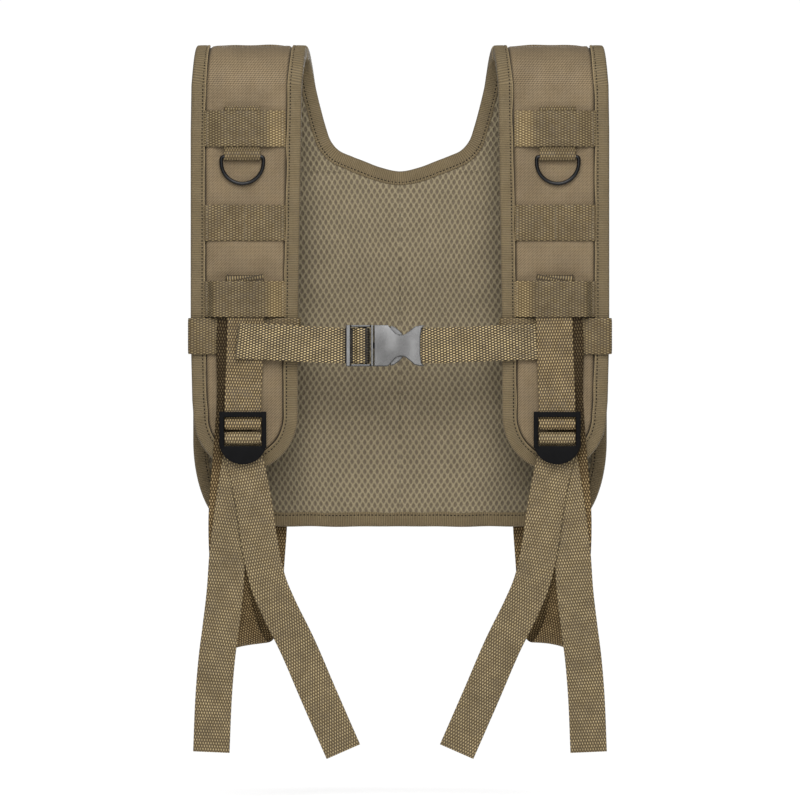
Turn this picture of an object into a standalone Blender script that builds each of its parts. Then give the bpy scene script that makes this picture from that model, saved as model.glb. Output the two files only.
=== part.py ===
"""A binocular harness pack: a padded yoke that hangs over both shoulders, with webbing rows and D-rings on
its two front pads, a sternum strap with a side-release buckle, and ladder locks for the underarm straps.

The frame is upright: +X to the right as the front is looked at, +Y towards the back panel, +Z up.
The origin is on the axis that both shoulder folds turn about, midway between the shoulders.
"left" is the -X side and "right" is the +X side. One-sided shapes are written for +X and mirrored.
"""
import math

import bmesh
import bpy
import numpy as np
from mathutils import Vector

MM = 0.001
GAP = 0.3 * MM

# the padded yoke: three layers, folded over the shoulders about the X axis
FOLD_RADIUS = 18.0 * MM
LINING = 2.4 * MM
FOAM = 5.5 * MM
COVER = 1.5 * MM
YOKE = LINING + FOAM + COVER + 2 * GAP
QUARTER_TURN = FOLD_RADIUS * math.pi / 2
FOLD_STEPS = 6
FACE = FOLD_RADIUS + YOKE

# the edges of the yoke, as (distance along the fold path from the crest, distance from the middle plane)
PAD_OUTER = [(0, 141.8), (28, 145.0), (60, 145.5), (200, 145.5), (247, 144.4), (257.2, 143.6)]
PAD_INNER = [(0, 64.4), (28, 68.0), (150, 70.0), (220, 70.8), (257.2, 70.8)]
PAD_ROUND_START = 257.2
PAD_ROUND_DEPTH = 38.9
PANEL_OUTER = [(0, 141.8), (28, 143.6), (45, 144.4), (274.6, 144.4)]
PANEL_CORNER_START = 274.6
PANEL_CORNER_DEPTH = 61.0
PANEL_CORNER_WIDTH = 28.5
NECK_EDGE = [(0, 64.2), (28, 58.9), (38, 56.6), (56, 51.8), (66, 48.2), (72.5, 42.6), (76.5, 34.0),
             (80.0, 25.0), (84.2, 14.0), (87.1, 0)]
ROUND_STEPS = 7

# edge binding tape
TAPE = 0.8 * MM
TAPE_LAP = 10.0 * MM
EDGE_INSET = TAPE + GAP
TAPE_FACE = FACE + GAP + TAPE

# webbing
WEB = 1.2 * MM
WEB_WIDTH = 25.4 * MM
LAYER = WEB + GAP
FIRST_LAYER = FACE + GAP + WEB / 2
ROW_HEIGHTS = [-30.0 * MM, -95.4 * MM, -148.4 * MM]
ROW_INNER = 80.5 * MM
ROW_OUTER = 135.0 * MM

# keeper band round each pad, and the layers in front of it
BAND_TOP = -161.6 * MM
BAND_HEIGHT = 25.0 * MM
BAND_INNER = 70.0 * MM
BAND_OUTER = 146.1 * MM
BAND_FRONT = TAPE_FACE + GAP
BAND_BACK = FOLD_RADIUS - TAPE - 2 * GAP
BAND_CORNER = 0.8 * MM
STRAP_LAYER = BAND_FRONT + WEB + GAP + WEB / 2
HANGER_LAYER = STRAP_LAYER + LAYER
TAIL_LAYER = HANGER_LAYER + LAYER

# D-rings
RING_WIRE = 1.3 * MM
RING_HALF_WIDTH = 14.65 * MM
RING_DROP = 18.7 * MM
RING_BAR = 12.6 * MM
RING_SHOULDER = -3.8 * MM
RING_X = 109.5 * MM
RING_PIN = Vector((RING_X, -31.1 * MM, -49.5 * MM))

# ladder locks
LOCK_X = 109.05 * MM
LOCK_MIDDLE = -36.5 * MM
HANGER_BAR_Z = -235.2 * MM
BELT_BAR_Z = -244.9 * MM
BAR_RADIUS = 2.6 * MM
WRAP_RADIUS = BAR_RADIUS + GAP + WEB / 2
LOCK_HALF_WIDTH = 16.35 * MM
LOCK_WINDOW = 13.15 * MM
LOCK_TOP = -226.5 * MM
LOCK_TOP_BAR_FRONT = -41.0 * MM
LOCK_TOP_BAR_BACK = -38.6 * MM
LOCK_TOP_BAR_BOTTOM = -230.3 * MM
LOCK_RAIL = [(-41.2, -226.5), (-38.4, -226.5), (-34.4, -233.0), (-34.4, -249.0), (-35.9, -251.6),
             (-39.5, -251.6), (-39.8, -246.0), (-41.2, -231.0)]
TAB_FRONT = -39.3 * MM
TAB_THICK = 3.2 * MM
TAB_TOP = -250.4 * MM
TAB_CENTRE = -248.0 * MM
TAB_STEPS = 14
LOCK_BOTTOM = -263.2 * MM
LOCK_AXIS = Vector((LOCK_X, -35.2 * MM, -221.0 * MM))

# sternum strap and buckle
BUCKLE_Z = -180.8 * MM
BUCKLE_Y = -33.7 * MM
BUCKLE_HALF = 4.8 * MM
SOCKET_HALF = 3.1 * MM
FEMALE_BAR_X = 12.6 * MM
FEMALE_BAR_RADIUS = 1.3 * MM
MALE_BAR_X = -26.0 * MM
MALE_BAR_HALF_WIDTH = 3.0 * MM
MALE_BAR_HALF_THICK = 0.9 * MM
LATCH_PIVOT = Vector((-17.4 * MM, BUCKLE_Y, 0))
LATCH_PIVOT_RISE = 8.6 * MM

SIDES = {"left": -1, "right": 1}
ACROSS = Vector((1, 0, 0))


# ---------------------------------------------------------------- materials

def make_material(name, color, roughness, metallic=0.0):
    material = bpy.data.materials.new(name)
    material.use_nodes = True
    shader = material.node_tree.nodes["Principled BSDF"]
    shader.inputs["Base Color"].default_value = (*color, 1)
    shader.inputs["Roughness"].default_value = roughness
    shader.inputs["Metallic"].default_value = metallic
    return material


# ---------------------------------------------------------------- solids

def add_object(name, bm, material):
    """Turn the bmesh into a named object with its faces pointing out."""
    bmesh.ops.recalc_face_normals(bm, faces=bm.faces)
    mesh = bpy.data.meshes.new(name)
    bm.to_mesh(mesh)
    bm.free()
    mesh.materials.append(material)
    mesh.shade_smooth()
    mesh.set_sharp_from_angle(angle=math.radians(35))
    piece = bpy.data.objects.new(name, mesh)
    bpy.context.scene.collection.objects.link(piece)
    return piece


def put_on_axis(piece, pivot):
    """Move the object's origin to its joint's axis and leave the shape where it is."""
    for vertex in piece.data.vertices:
        vertex.co -= pivot
    piece.location = pivot


def loft(name, rings, material, closed_path=False):
    """A solid through rings of points. An open path gets a flat cap at each end."""
    bm = bmesh.new()
    rows = [[bm.verts.new(point) for point in ring] for ring in rings]
    if closed_path:
        rows.append(rows[0])
    for low, high in zip(rows, rows[1:]):
        for k in range(len(low)):
            after = (k + 1) % len(low)
            bm.faces.new((low[k], low[after], high[after], high[k]))
    if not closed_path:
        bm.faces.new(rows[0])
        bm.faces.new(rows[-1])
    return add_object(name, bm, material)


def prism(name, outline, direction, material):
    """A flat outline pushed straight along a direction."""
    bm = bmesh.new()
    base = bm.faces.new([bm.verts.new(point) for point in outline])
    pushed = bmesh.ops.extrude_face_region(bm, geom=[base])["geom"]
    moved = [item for item in pushed if isinstance(item, bmesh.types.BMVert)]
    bmesh.ops.translate(bm, verts=moved, vec=direction)
    return add_object(name, bm, material)


def block(name, low, high, material):
    corners = [(low[0], low[1], low[2]), (high[0], low[1], low[2]),
               (high[0], high[1], low[2]), (low[0], high[1], low[2])]
    return prism(name, [Vector(corner) for corner in corners], Vector((0, 0, high[2] - low[2])), material)


def rod(name, centre, radius, half_length, axis, material, sides=16):
    """A round bar along X or Z."""
    ring = []
    for k in range(sides):
        turn = 2 * math.pi * k / sides
        if axis == "X":
            ring.append(centre + Vector((-half_length, radius * math.cos(turn), radius * math.sin(turn))))
        else:
            ring.append(centre + Vector((radius * math.cos(turn), radius * math.sin(turn), -half_length)))
    along = Vector((2 * half_length, 0, 0)) if axis == "X" else Vector((0, 0, 2 * half_length))
    return prism(name, ring, along, material)


def combine(base, other, operation):
    """Join the other object to the base, or cut it from the base, and remove it."""
    step = base.modifiers.new("step", "BOOLEAN")
    step.operation = operation
    step.object = other
    bpy.context.view_layer.update()
    graph = bpy.context.evaluated_depsgraph_get()
    mesh = bpy.data.meshes.new_from_object(base.evaluated_get(graph))
    base.modifiers.remove(step)
    base.data = mesh
    bpy.data.objects.remove(other)


def smooth_path(points, steps):
    """Points along a smooth curve through the given points, with the given steps between each two."""
    padded = [2 * points[0] - points[1], *points, 2 * points[-1] - points[-2]]
    path = []
    for before, start, end, after in zip(padded, padded[1:], padded[2:], padded[3:]):
        for k in range(steps):
            t = k / steps
            path.append(0.5 * (2 * start + (end - before) * t
                               + (2 * before - 5 * start + 4 * end - after) * t ** 2
                               + (3 * start - before - 3 * end + after) * t ** 3))
    path.append(points[-1])
    return path


def path_directions(path):
    directions = []
    for k in range(len(path)):
        before = path[max(k - 1, 0)]
        after = path[min(k + 1, len(path) - 1)]
        directions.append((after - before).normalized())
    return directions


def ribbon(name, path, material, width=WEB_WIDTH, across=ACROSS):
    """Flat webbing along a path. Its width lies along `across`, as far as the path allows."""
    rings = []
    for point, forward in zip(path, path_directions(path)):
        side = (across - forward * across.dot(forward)).normalized() * width / 2
        rise = side.cross(forward).normalized() * WEB / 2
        rings.append([point - side - rise, point + side - rise, point + side + rise, point - side + rise])
    return loft(name, rings, material)


def mirrored(points, side):
    return [Vector((side * point[0], point[1], point[2])) for point in points]


def arc(centre, radius, start, end, steps):
    """Points of an arc in the YZ plane. An angle of 0 points to the front, and 90 degrees points up."""
    points = []
    for k in range(steps + 1):
        turn = math.radians(start + (end - start) * k / steps)
        points.append(centre + Vector((0, -radius * math.cos(turn), radius * math.sin(turn))))
    return points


# ---------------------------------------------------------------- the folded yoke

def yoke_point(x, s, height):
    """The point at distance s along the inner face from the crest, and at a height above that face.

    Negative s runs down the front, and positive s runs down the back.
    """
    radius = FOLD_RADIUS + height
    turn = max(-math.pi / 2, min(math.pi / 2, s / FOLD_RADIUS))
    straight = max(0.0, abs(s) - QUARTER_TURN)
    return Vector((x, radius * math.sin(turn), radius * math.cos(turn) - straight))


def edge_at(keys, s):
    """Distance from the middle plane of an edge at path distance s."""
    distances = [key[0] * MM for key in keys]
    return float(np.interp(s, distances, [key[1] * MM for key in keys]))


def fold_stations():
    """Path distances over a quarter of the shoulder fold, from the cut at the crest."""
    stations = [QUARTER_TURN * k / FOLD_STEPS for k in range(FOLD_STEPS + 1)]
    stations[0] = GAP / 2
    return stations


def is_on_fold(s):
    return abs(s) < QUARTER_TURN + 0.01 * MM


def pad_edges(inset):
    """Stations down a front pad: (path distance, inner x, outer x)."""
    stations = fold_stations() + [60 * MM, 150 * MM, 220 * MM, PAD_ROUND_START * MM]
    edges = [(s, edge_at(PAD_INNER, s) + inset, edge_at(PAD_OUTER, s) - inset) for s in stations]
    start = PAD_ROUND_START * MM
    middle = (edge_at(PAD_INNER, start) + edge_at(PAD_OUTER, start)) / 2
    half = edge_at(PAD_OUTER, start) - middle - inset
    depth = PAD_ROUND_DEPTH * MM - inset
    for k in range(1, ROUND_STEPS + 1):
        turn = math.radians(84 * k / ROUND_STEPS)
        reach = half * math.cos(turn)
        edges.append((start + depth * math.sin(turn), middle - reach, middle + reach))
    return edges


def panel_corner(inset):
    """The rounded lower corner of the back panel: (path distance, x), from the side to the bottom."""
    start = PANEL_CORNER_START * MM
    width = PANEL_CORNER_WIDTH * MM - inset
    depth = PANEL_CORNER_DEPTH * MM - inset
    inner = edge_at(PANEL_OUTER, start) - PANEL_CORNER_WIDTH * MM
    corner = []
    for k in range(1, ROUND_STEPS + 1):
        turn = math.radians(90 * k / ROUND_STEPS)
        corner.append((start + depth * math.sin(turn), inner + width * math.cos(turn)))
    return corner


def neck_edge(inset):
    """The neck opening's edge on the +X side, moved into the panel by the inset: (path distance, x)."""
    distances = sorted({*fold_stations(), *(key[0] * MM for key in NECK_EDGE if key[0] > 28)})
    points = [Vector((edge_at(NECK_EDGE, s), s)) for s in distances]
    moved = []
    for k, point in enumerate(points):
        along = points[min(k + 1, len(points) - 1)] - points[max(k - 1, 0)]
        if is_on_fold(point.y):
            along = Vector((0, 1))
        if k == len(points) - 1:
            along = Vector((-1, 0))
        normal = Vector((along.y, -along.x)).normalized()
        moved.append((point.y + normal.y * inset, point.x + normal.x * inset))
    return moved


def plate(name, cells, low, high, material):
    """A layer of the yoke. Each cell is a list of (x, s) corners, and shared corners are equal."""
    bm = bmesh.new()
    sheets = []
    for height in (low, high):
        corners = {}
        for cell in cells:
            for x, s in cell:
                corners.setdefault((x, s), None)
        for key in corners:
            corners[key] = bm.verts.new(yoke_point(key[0], key[1], height))
        sheets.append(corners)
        for cell in cells:
            bm.faces.new([corners[key] for key in cell])
    uses = {}
    for cell in cells:
        for start, end in zip(cell, cell[1:] + cell[:1]):
            edge = frozenset((start, end))
            uses[edge] = uses.get(edge, 0) + 1
    for edge, count in uses.items():
        if count == 1:
            start, end = edge
            bm.faces.new((sheets[0][start], sheets[0][end], sheets[1][end], sheets[1][start]))
    return add_object(name, bm, material)


def pad_cells(side):
    edges = pad_edges(EDGE_INSET)
    cells = []
    for (s, inner, outer), (s_next, inner_next, outer_next) in zip(edges, edges[1:]):
        corners = [(inner, s), (outer, s), (outer_next, s_next), (inner_next, s_next)]
        cells.append([(side * x, -distance) for x, distance in corners])
    return cells


def panel_cells():
    """Quads of the back panel: a strip down each shoulder that meets its twin below the neck."""
    neck = neck_edge(EDGE_INSET)
    rows = [(s, x, edge_at(PANEL_OUTER, s) - EDGE_INSET) for s, x in neck]
    rows[-1] = (rows[-1][0], 0.0, rows[-1][2])
    for s in (150 * MM, 220 * MM, PANEL_CORNER_START * MM):
        rows.append((s, 0.0, edge_at(PANEL_OUTER, s) - EDGE_INSET))
    rows += [(s, 0.0, x) for s, x in panel_corner(EDGE_INSET)]
    cells = []
    for (s, inner, outer), (s_next, inner_next, outer_next) in zip(rows, rows[1:]):
        for side in (1, -1):
            corners = [(inner, s), (outer, s), (outer_next, s_next), (inner_next, s_next)]
            cells.append([(side * x if x else 0.0, distance) for x, distance in corners])
    return cells


def add_layers(prefix, cells, materials):
    foam_low = LINING + GAP
    cover_low = foam_low + FOAM + GAP
    plate(f"{prefix}_lining", cells, 0, LINING, materials["mesh"])
    plate(f"{prefix}_foam", cells, foam_low, foam_low + FOAM, materials["foam"])
    plate(f"{prefix}_cover", cells, cover_low, YOKE, materials["fabric"])


def binding(name, edge, material):
    """Tape folded round an edge of the yoke. The edge is a list of (x, s), with the yoke on its left."""
    section = [(TAPE_LAP, YOKE + GAP + TAPE), (0, YOKE + GAP + TAPE), (0, -GAP - TAPE),
               (TAPE_LAP, -GAP - TAPE), (TAPE_LAP, -GAP), (TAPE, -GAP), (TAPE, YOKE + GAP),
               (TAPE_LAP, YOKE + GAP)]
    rings = []
    for k, (x, s) in enumerate(edge):
        before = Vector(edge[max(k - 1, 0)])
        after = Vector(edge[min(k + 1, len(edge) - 1)])
        along = (after - before).normalized()
        inward = Vector((-along.y, along.x))
        if is_on_fold(s):
            inward = Vector((math.copysign(1, inward.x), 0))
        rings.append([yoke_point(x + inward.x * reach, s + inward.y * reach, height)
                      for reach, height in section])
    return loft(name, rings, material)


def pad_edge_path(side):
    """The whole edge of a front pad, down one side, round the bottom and up the other side."""
    edges = pad_edges(0)
    down = [(outer, -s) for s, _, outer in edges]
    up = [(inner, -s) for s, inner, _ in reversed(edges)]
    path = [(side * x, s) for x, s in down + up]
    return path if side < 0 else path[::-1]


def neck_path():
    right = [(x, s) for s, x in neck_edge(0)]
    right[-1] = (0.0, right[-1][1])
    left = [(-x, s) for x, s in reversed(right[:-1])]
    return (right + left)[::-1]


def panel_edge_path():
    stations = fold_stations() + [60 * MM, 150 * MM, 220 * MM, PANEL_CORNER_START * MM]
    right = [(edge_at(PANEL_OUTER, s), s) for s in stations]
    right += [(x, s) for s, x in panel_corner(0)]
    left = [(-x, s) for x, s in reversed(right)]
    return right + left


def add_yoke(materials):
    add_layers("back", panel_cells(), materials)
    binding("neck_binding", neck_path(), materials["binding"])
    binding("panel_binding", panel_edge_path(), materials["binding"])
    for name, side in SIDES.items():
        add_layers(f"front_{name}", pad_cells(side), materials)
        binding(f"front_{name}_binding", pad_edge_path(side), materials["binding"])


# ---------------------------------------------------------------- webbing on the pads

def add_rows(materials):
    """Webbing rows on each front pad. The lowest one bridges the two layers of the support strap."""
    flat = -FIRST_LAYER
    raised = -(HANGER_LAYER + LAYER)
    raised_ring_tab = -(FIRST_LAYER + 2 * LAYER)
    for name, side in SIDES.items():
        for number, z in enumerate(ROW_HEIGHTS, start=1):
            if number == 3:
                stops = [(ROW_INNER, flat), (86 * MM, flat), (91 * MM, raised), (129.5 * MM, raised),
                         (133.2 * MM, flat), (ROW_OUTER, flat)]
            elif number == 1:
                stops = [(ROW_INNER, flat), (90 * MM, flat), (94.5 * MM, raised_ring_tab),
                         (124.3 * MM, raised_ring_tab), (128.5 * MM, flat), (ROW_OUTER, flat)]
            else:
                stops = [(ROW_INNER, flat), (ROW_OUTER, flat)]
            path = [Vector((side * x, y, z)) for x, y in stops]
            ribbon(f"row_{number}_{name}", path, materials["webbing"], 25 * MM, Vector((0, 0, 1)))


def add_ring_tabs(materials):
    """Each D-ring hangs in a folded tab that goes up behind the top row."""
    fold_radius = RING_WIRE + GAP + WEB / 2
    for name, side in SIDES.items():
        pin = Vector((side * RING_X, RING_PIN.y, RING_PIN.z))
        front = -(FIRST_LAYER + LAYER)
        path = [Vector((pin.x, front, -14.4 * MM)), Vector((pin.x, front, -42.7 * MM)),
                Vector((pin.x, front - 0.4 * MM, -43.9 * MM)),
                Vector((pin.x, pin.y - 0.85 * fold_radius, -46.8 * MM))]
        path += arc(pin, fold_radius, 0, -180, 8)
        path.append(Vector((pin.x, -FIRST_LAYER, -16 * MM)))
        ribbon(f"ring_tab_{name}", path, materials["webbing"], 25 * MM)


def add_rings(materials):
    """D-rings: round wire with a straight bar at the top and a half-oval below."""
    for name, side in SIDES.items():
        bend = (RING_HALF_WIDTH - 0.5 * MM, -1.3 * MM)
        outline = [Vector((-RING_BAR, 0)), Vector((0, 0)), Vector((RING_BAR, 0)), Vector(bend)]
        for k in range(13):
            turn = math.pi * k / 12
            drop = (RING_DROP + RING_SHOULDER) * math.sin(turn)
            outline.append(Vector((RING_HALF_WIDTH * math.cos(turn), RING_SHOULDER - drop)))
        outline.append(Vector((-bend[0], bend[1])))
        centre = Vector((side * RING_X, RING_PIN.y, RING_PIN.z))
        rings = []
        for k, point in enumerate(outline):
            along = (outline[(k + 1) % len(outline)] - outline[k - 1]).normalized()
            outward = Vector((-along.y, 0, along.x))
            ring = []
            for corner in range(8):
                turn = 2 * math.pi * (corner + 0.5) / 8
                reach = outward * math.cos(turn) + Vector((0, 1, 0)) * math.sin(turn)
                ring.append(centre + Vector((point.x, 0, point.y)) + reach * RING_WIRE)
            rings.append(ring)
        ring_object = loft(f"d_ring_{name}", rings, materials["lock"], closed_path=True)
        put_on_axis(ring_object, centre)


def add_support_straps(materials):
    """One webbing a side: from the back panel's lower edge, under the arm, up behind the lowest row,
    over a fold at its top, and down the front of the pad to the ladder lock."""
    strap = -STRAP_LAYER
    hanger = -HANGER_LAYER
    low = -(TAPE_FACE + GAP + WEB / 2)
    under_arm = [(91, 30.1, -268), (91, 30.1, -285), (91.2, 30.1, -306), (92, 29, -332), (94, 23, -360),
                 (99, 10, -382), (105, -4, -388), (111, -17, -379), (116, -25.5, -358),
                 (119.4, -29.4, -332), (120.4, low / MM, -304), (119.2, low / MM, -280),
                 (117, low / MM, -255), (115.2, low / MM, -232), (114.5, low / MM, -219),
                 (114.4, strap / MM, -206), (114.3, strap / MM, -168), (108.5, strap / MM, -137)]
    down = [(107, hanger / MM, -136.5), (107.1, hanger / MM, -160), (107.9, hanger / MM, -190),
            (108.6, hanger / MM, -207), (109, -34.4, -217), (LOCK_X / MM, -34.9, -220.2)]
    for name, side in SIDES.items():
        rising = smooth_path([Vector(point) * MM for point in under_arm], 2)
        falling = smooth_path([Vector(point) * MM for point in down], 2)
        crest = Vector((107.7 * MM, (strap + hanger) / 2, -133 * MM))
        fold = arc(crest, LAYER / 2 + 0.1 * MM, 180, 0, 6)
        path = rising + fold + falling
        ribbon(f"support_strap_{name}", mirrored(path, side), materials["webbing"])
        patch_low = (side * 91 * MM - 17 * MM, 31.0 * MM, -296 * MM)
        patch_high = (side * 91 * MM + 17 * MM, 32.0 * MM, -262 * MM)
        block(f"anchor_patch_{name}", patch_low, patch_high, materials["fabric"])


def add_keeper_bands(materials):
    """A webbing band goes right round each pad and carries the sternum strap."""
    for name, side in SIDES.items():
        loops = []
        for grow in (0, WEB):
            corner = BAND_CORNER + grow
            low = Vector((BAND_INNER - grow, -BAND_FRONT - grow))
            high = Vector((BAND_OUTER + grow, -BAND_BACK + grow))
            centres = [(high.x - corner, high.y - corner, 0), (low.x + corner, high.y - corner, 90),
                       (low.x + corner, low.y + corner, 180), (high.x - corner, low.y + corner, 270)]
            loop = []
            for x, y, start in centres:
                for k in range(4):
                    turn = math.radians(start + 30 * k)
                    loop.append((x + corner * math.cos(turn), y + corner * math.sin(turn)))
            loops.append(loop)
        rings = []
        for (x_in, y_in), (x_out, y_out) in zip(*loops):
            bottom = BAND_TOP - BAND_HEIGHT
            rings.append([Vector((side * x_in, y_in, BAND_TOP)), Vector((side * x_out, y_out, BAND_TOP)),
                          Vector((side * x_out, y_out, bottom)), Vector((side * x_in, y_in, bottom))])
        loft(f"keeper_band_{name}", rings, materials["webbing"], closed_path=True)


# ---------------------------------------------------------------- ladder locks and belt straps

def add_ladder_locks(materials):
    """A slanting frame with two bars and a half-oval tab at the bottom."""
    tab_start = math.asin((TAB_TOP - TAB_CENTRE) / (LOCK_BOTTOM - TAB_CENTRE))
    for name, side in SIDES.items():
        x = side * LOCK_X
        reach = LOCK_HALF_WIDTH - 0.4 * MM
        lock = block(f"ladder_lock_{name}", (x - reach, LOCK_TOP_BAR_FRONT, LOCK_TOP_BAR_BOTTOM),
                     (x + reach, LOCK_TOP_BAR_BACK, LOCK_TOP - 0.2 * MM), materials["lock"])
        for edge in (-LOCK_HALF_WIDTH, LOCK_WINDOW):
            outline = [Vector((x + edge, y * MM, z * MM)) for y, z in LOCK_RAIL]
            thickness = Vector((LOCK_HALF_WIDTH - LOCK_WINDOW, 0, 0))
            combine(lock, prism("rail", outline, thickness, materials["lock"]), "UNION")
        for z in (HANGER_BAR_Z, BELT_BAR_Z):
            bar = rod("bar", Vector((x, LOCK_MIDDLE, z)), BAR_RADIUS * 0.75, LOCK_WINDOW + 1.5 * MM, "X",
                      materials["lock"])
            combine(lock, bar, "UNION")
        outline = []
        for k in range(TAB_STEPS + 1):
            turn = tab_start + (math.pi - 2 * tab_start) * k / TAB_STEPS
            drop = (LOCK_BOTTOM - TAB_CENTRE) * math.sin(turn)
            outline.append(Vector((x + LOCK_HALF_WIDTH * math.cos(turn), TAB_FRONT, TAB_CENTRE + drop)))
        combine(lock, prism("tab", outline, Vector((0, TAB_THICK, 0)), materials["lock"]), "UNION")
        put_on_axis(lock, Vector((x, LOCK_AXIS.y, LOCK_AXIS.z)))


def add_hanger_loops(materials):
    """The end of each support strap, wrapped round the lock's upper bar and sewn back behind itself."""
    for name, side in SIDES.items():
        x = side * LOCK_X
        bar = Vector((x, LOCK_MIDDLE, HANGER_BAR_Z))
        path = [Vector((x, -35.2 * MM, -221.4 * MM)), Vector((x, -35.8 * MM, -225.5 * MM)),
                Vector((x, -36.8 * MM, -229.8 * MM))]
        path += arc(bar, WRAP_RADIUS, 35, -180, 12)
        path += [Vector((x, -33.2 * MM, -231.5 * MM)), Vector((x, -34.0 * MM, -226.5 * MM))]
        loop = ribbon(f"hanger_loop_{name}", path, materials["webbing"])
        put_on_axis(loop, Vector((x, LOCK_AXIS.y, LOCK_AXIS.z)))


def add_belt_straps(materials):
    """A loose webbing threaded over each lock's lower bar, with both of its ends hanging free."""
    rear_leg = [(131.0, -32.6, -463), (129.4, -32.6, -425), (127.2, -32.6, -398), (124.4, -32.6, -376),
                (121.6, -32.5, -352), (119.4, -32.4, -322), (115.5, -32.2, -291), (112.0, -32.0, -268),
                (109.4, -32.0, -253)]
    front_tail = [(109.05, -33.9, -254.5), (106.0, -33.9, -267), (101.2, -34.4, -292), (97.2, -35, -320),
                  (91.5, -35.4, -345), (84.5, -35.6, -362), (71, -35.6, -389.5), (56.6, -35.6, -423),
                  (39.3, -35.6, -462.6)]
    for name, side in SIDES.items():
        bar = Vector((LOCK_X, LOCK_MIDDLE, BELT_BAR_Z))
        wrap = arc(bar, WRAP_RADIUS, 180, -100, 14)
        up = smooth_path([Vector(point) * MM for point in rear_leg], 2)
        down = smooth_path([Vector(point) * MM for point in front_tail], 2)
        through = [Vector((LOCK_X, -34.6 * MM, -250.2 * MM))]
        strap = ribbon(f"belt_strap_{name}", mirrored(up + wrap + through + down, side), materials["webbing"])
        put_on_axis(strap, Vector((side * LOCK_X, LOCK_AXIS.y, LOCK_AXIS.z)))


# ---------------------------------------------------------------- sternum strap and buckle

def on_buckle(points, y=0.0):
    """Points of the buckle's plane, written from the buckle's own centre."""
    return [Vector((x * MM, BUCKLE_Y + y, BUCKLE_Z + z * MM)) for x, z in points]


def add_buckle_female(materials):
    upper = [(-18.0, 14.4), (-8.2, 14.4), (-5.6, 11.3), (-2.8, 8.4), (0.3, 7.3), (3.5, 7.9), (7.0, 10.6),
             (10.0, 13.2), (13.5, 14.1), (17.2, 14.2), (15.0, 12.0), (14.2, 6.0)]
    outline = upper + [(x, -z) for x, z in reversed(upper)]
    housing = prism("buckle_female", on_buckle(outline, -BUCKLE_HALF), Vector((0, 2 * BUCKLE_HALF, 0)),
                    materials["buckle"])
    socket_low = (-19 * MM, BUCKLE_Y - SOCKET_HALF, BUCKLE_Z - 13.1 * MM)
    socket_high = (4.0 * MM, BUCKLE_Y + SOCKET_HALF, BUCKLE_Z + 13.1 * MM)
    combine(housing, block("socket", socket_low, socket_high, materials["buckle"]), "DIFFERENCE")
    throat_low = (8.6 * MM, BUCKLE_Y - SOCKET_HALF, BUCKLE_Z - 12.7 * MM)
    throat_high = (20 * MM, BUCKLE_Y + SOCKET_HALF, BUCKLE_Z + 12.7 * MM)
    combine(housing, block("throat", throat_low, throat_high, materials["buckle"]), "DIFFERENCE")
    bar = rod("bar", Vector((FEMALE_BAR_X, BUCKLE_Y, BUCKLE_Z)), FEMALE_BAR_RADIUS, 13.4 * MM, "Z",
              materials["buckle"])
    combine(housing, bar, "UNION")


def add_buckle_male(materials):
    """The adjuster frame with its two strap bars, and the guide prong between the latch arms."""
    plastic = materials["buckle"]
    boxes = {
        "rail_top": ((-37.6, -2.6, 12.9), (-18.3, 2.6, 14.4)),
        "rail_bottom": ((-37.6, -2.6, -14.4), (-18.3, 2.6, -12.9)),
        "front_bar": ((-37.6, -4.2, -14.4), (-34.3, -1.6, 14.4)),
        "strap_bar": ((MALE_BAR_X / MM - 3.0, -0.9, -13.5), (MALE_BAR_X / MM + 3.0, 0.9, 13.5)),
        "prong": ((-19.5, -1.6, -1.8), (1.6, 1.6, 1.8)),
    }
    frame = block("buckle_male", (-20.4 * MM, BUCKLE_Y - 4.2 * MM, BUCKLE_Z - 14.4 * MM),
                  (-18.3 * MM, BUCKLE_Y + 2.6 * MM, BUCKLE_Z + 14.4 * MM), plastic)
    for name, (low, high) in boxes.items():
        low_corner = (low[0] * MM, BUCKLE_Y + low[1] * MM, BUCKLE_Z + low[2] * MM)
        high_corner = (high[0] * MM, BUCKLE_Y + high[1] * MM, BUCKLE_Z + high[2] * MM)
        combine(frame, block(name, low_corner, high_corner, plastic), "UNION")


def add_latch_arms(materials):
    """Two flexing arms with press tabs, which show in the housing's side notches."""
    arm = [(-18.0, 7.6), (-18.0, 9.6), (-9.0, 11.0), (-6.8, 11.2), (-6.8, 14.0), (-4.0, 13.2), (-0.6, 10.8),
           (2.0, 8.2), (1.2, 6.8), (-5.0, 7.8)]
    for name, rise in (("upper", 1), ("lower", -1)):
        outline = on_buckle([(x, rise * z) for x, z in arm], -2.6 * MM)
        latch = prism(f"latch_arm_{name}", outline, Vector((0, 5.2 * MM, 0)), materials["buckle"])
        put_on_axis(latch, LATCH_PIVOT + Vector((0, 0, BUCKLE_Z + rise * LATCH_PIVOT_RISE)))


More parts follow.
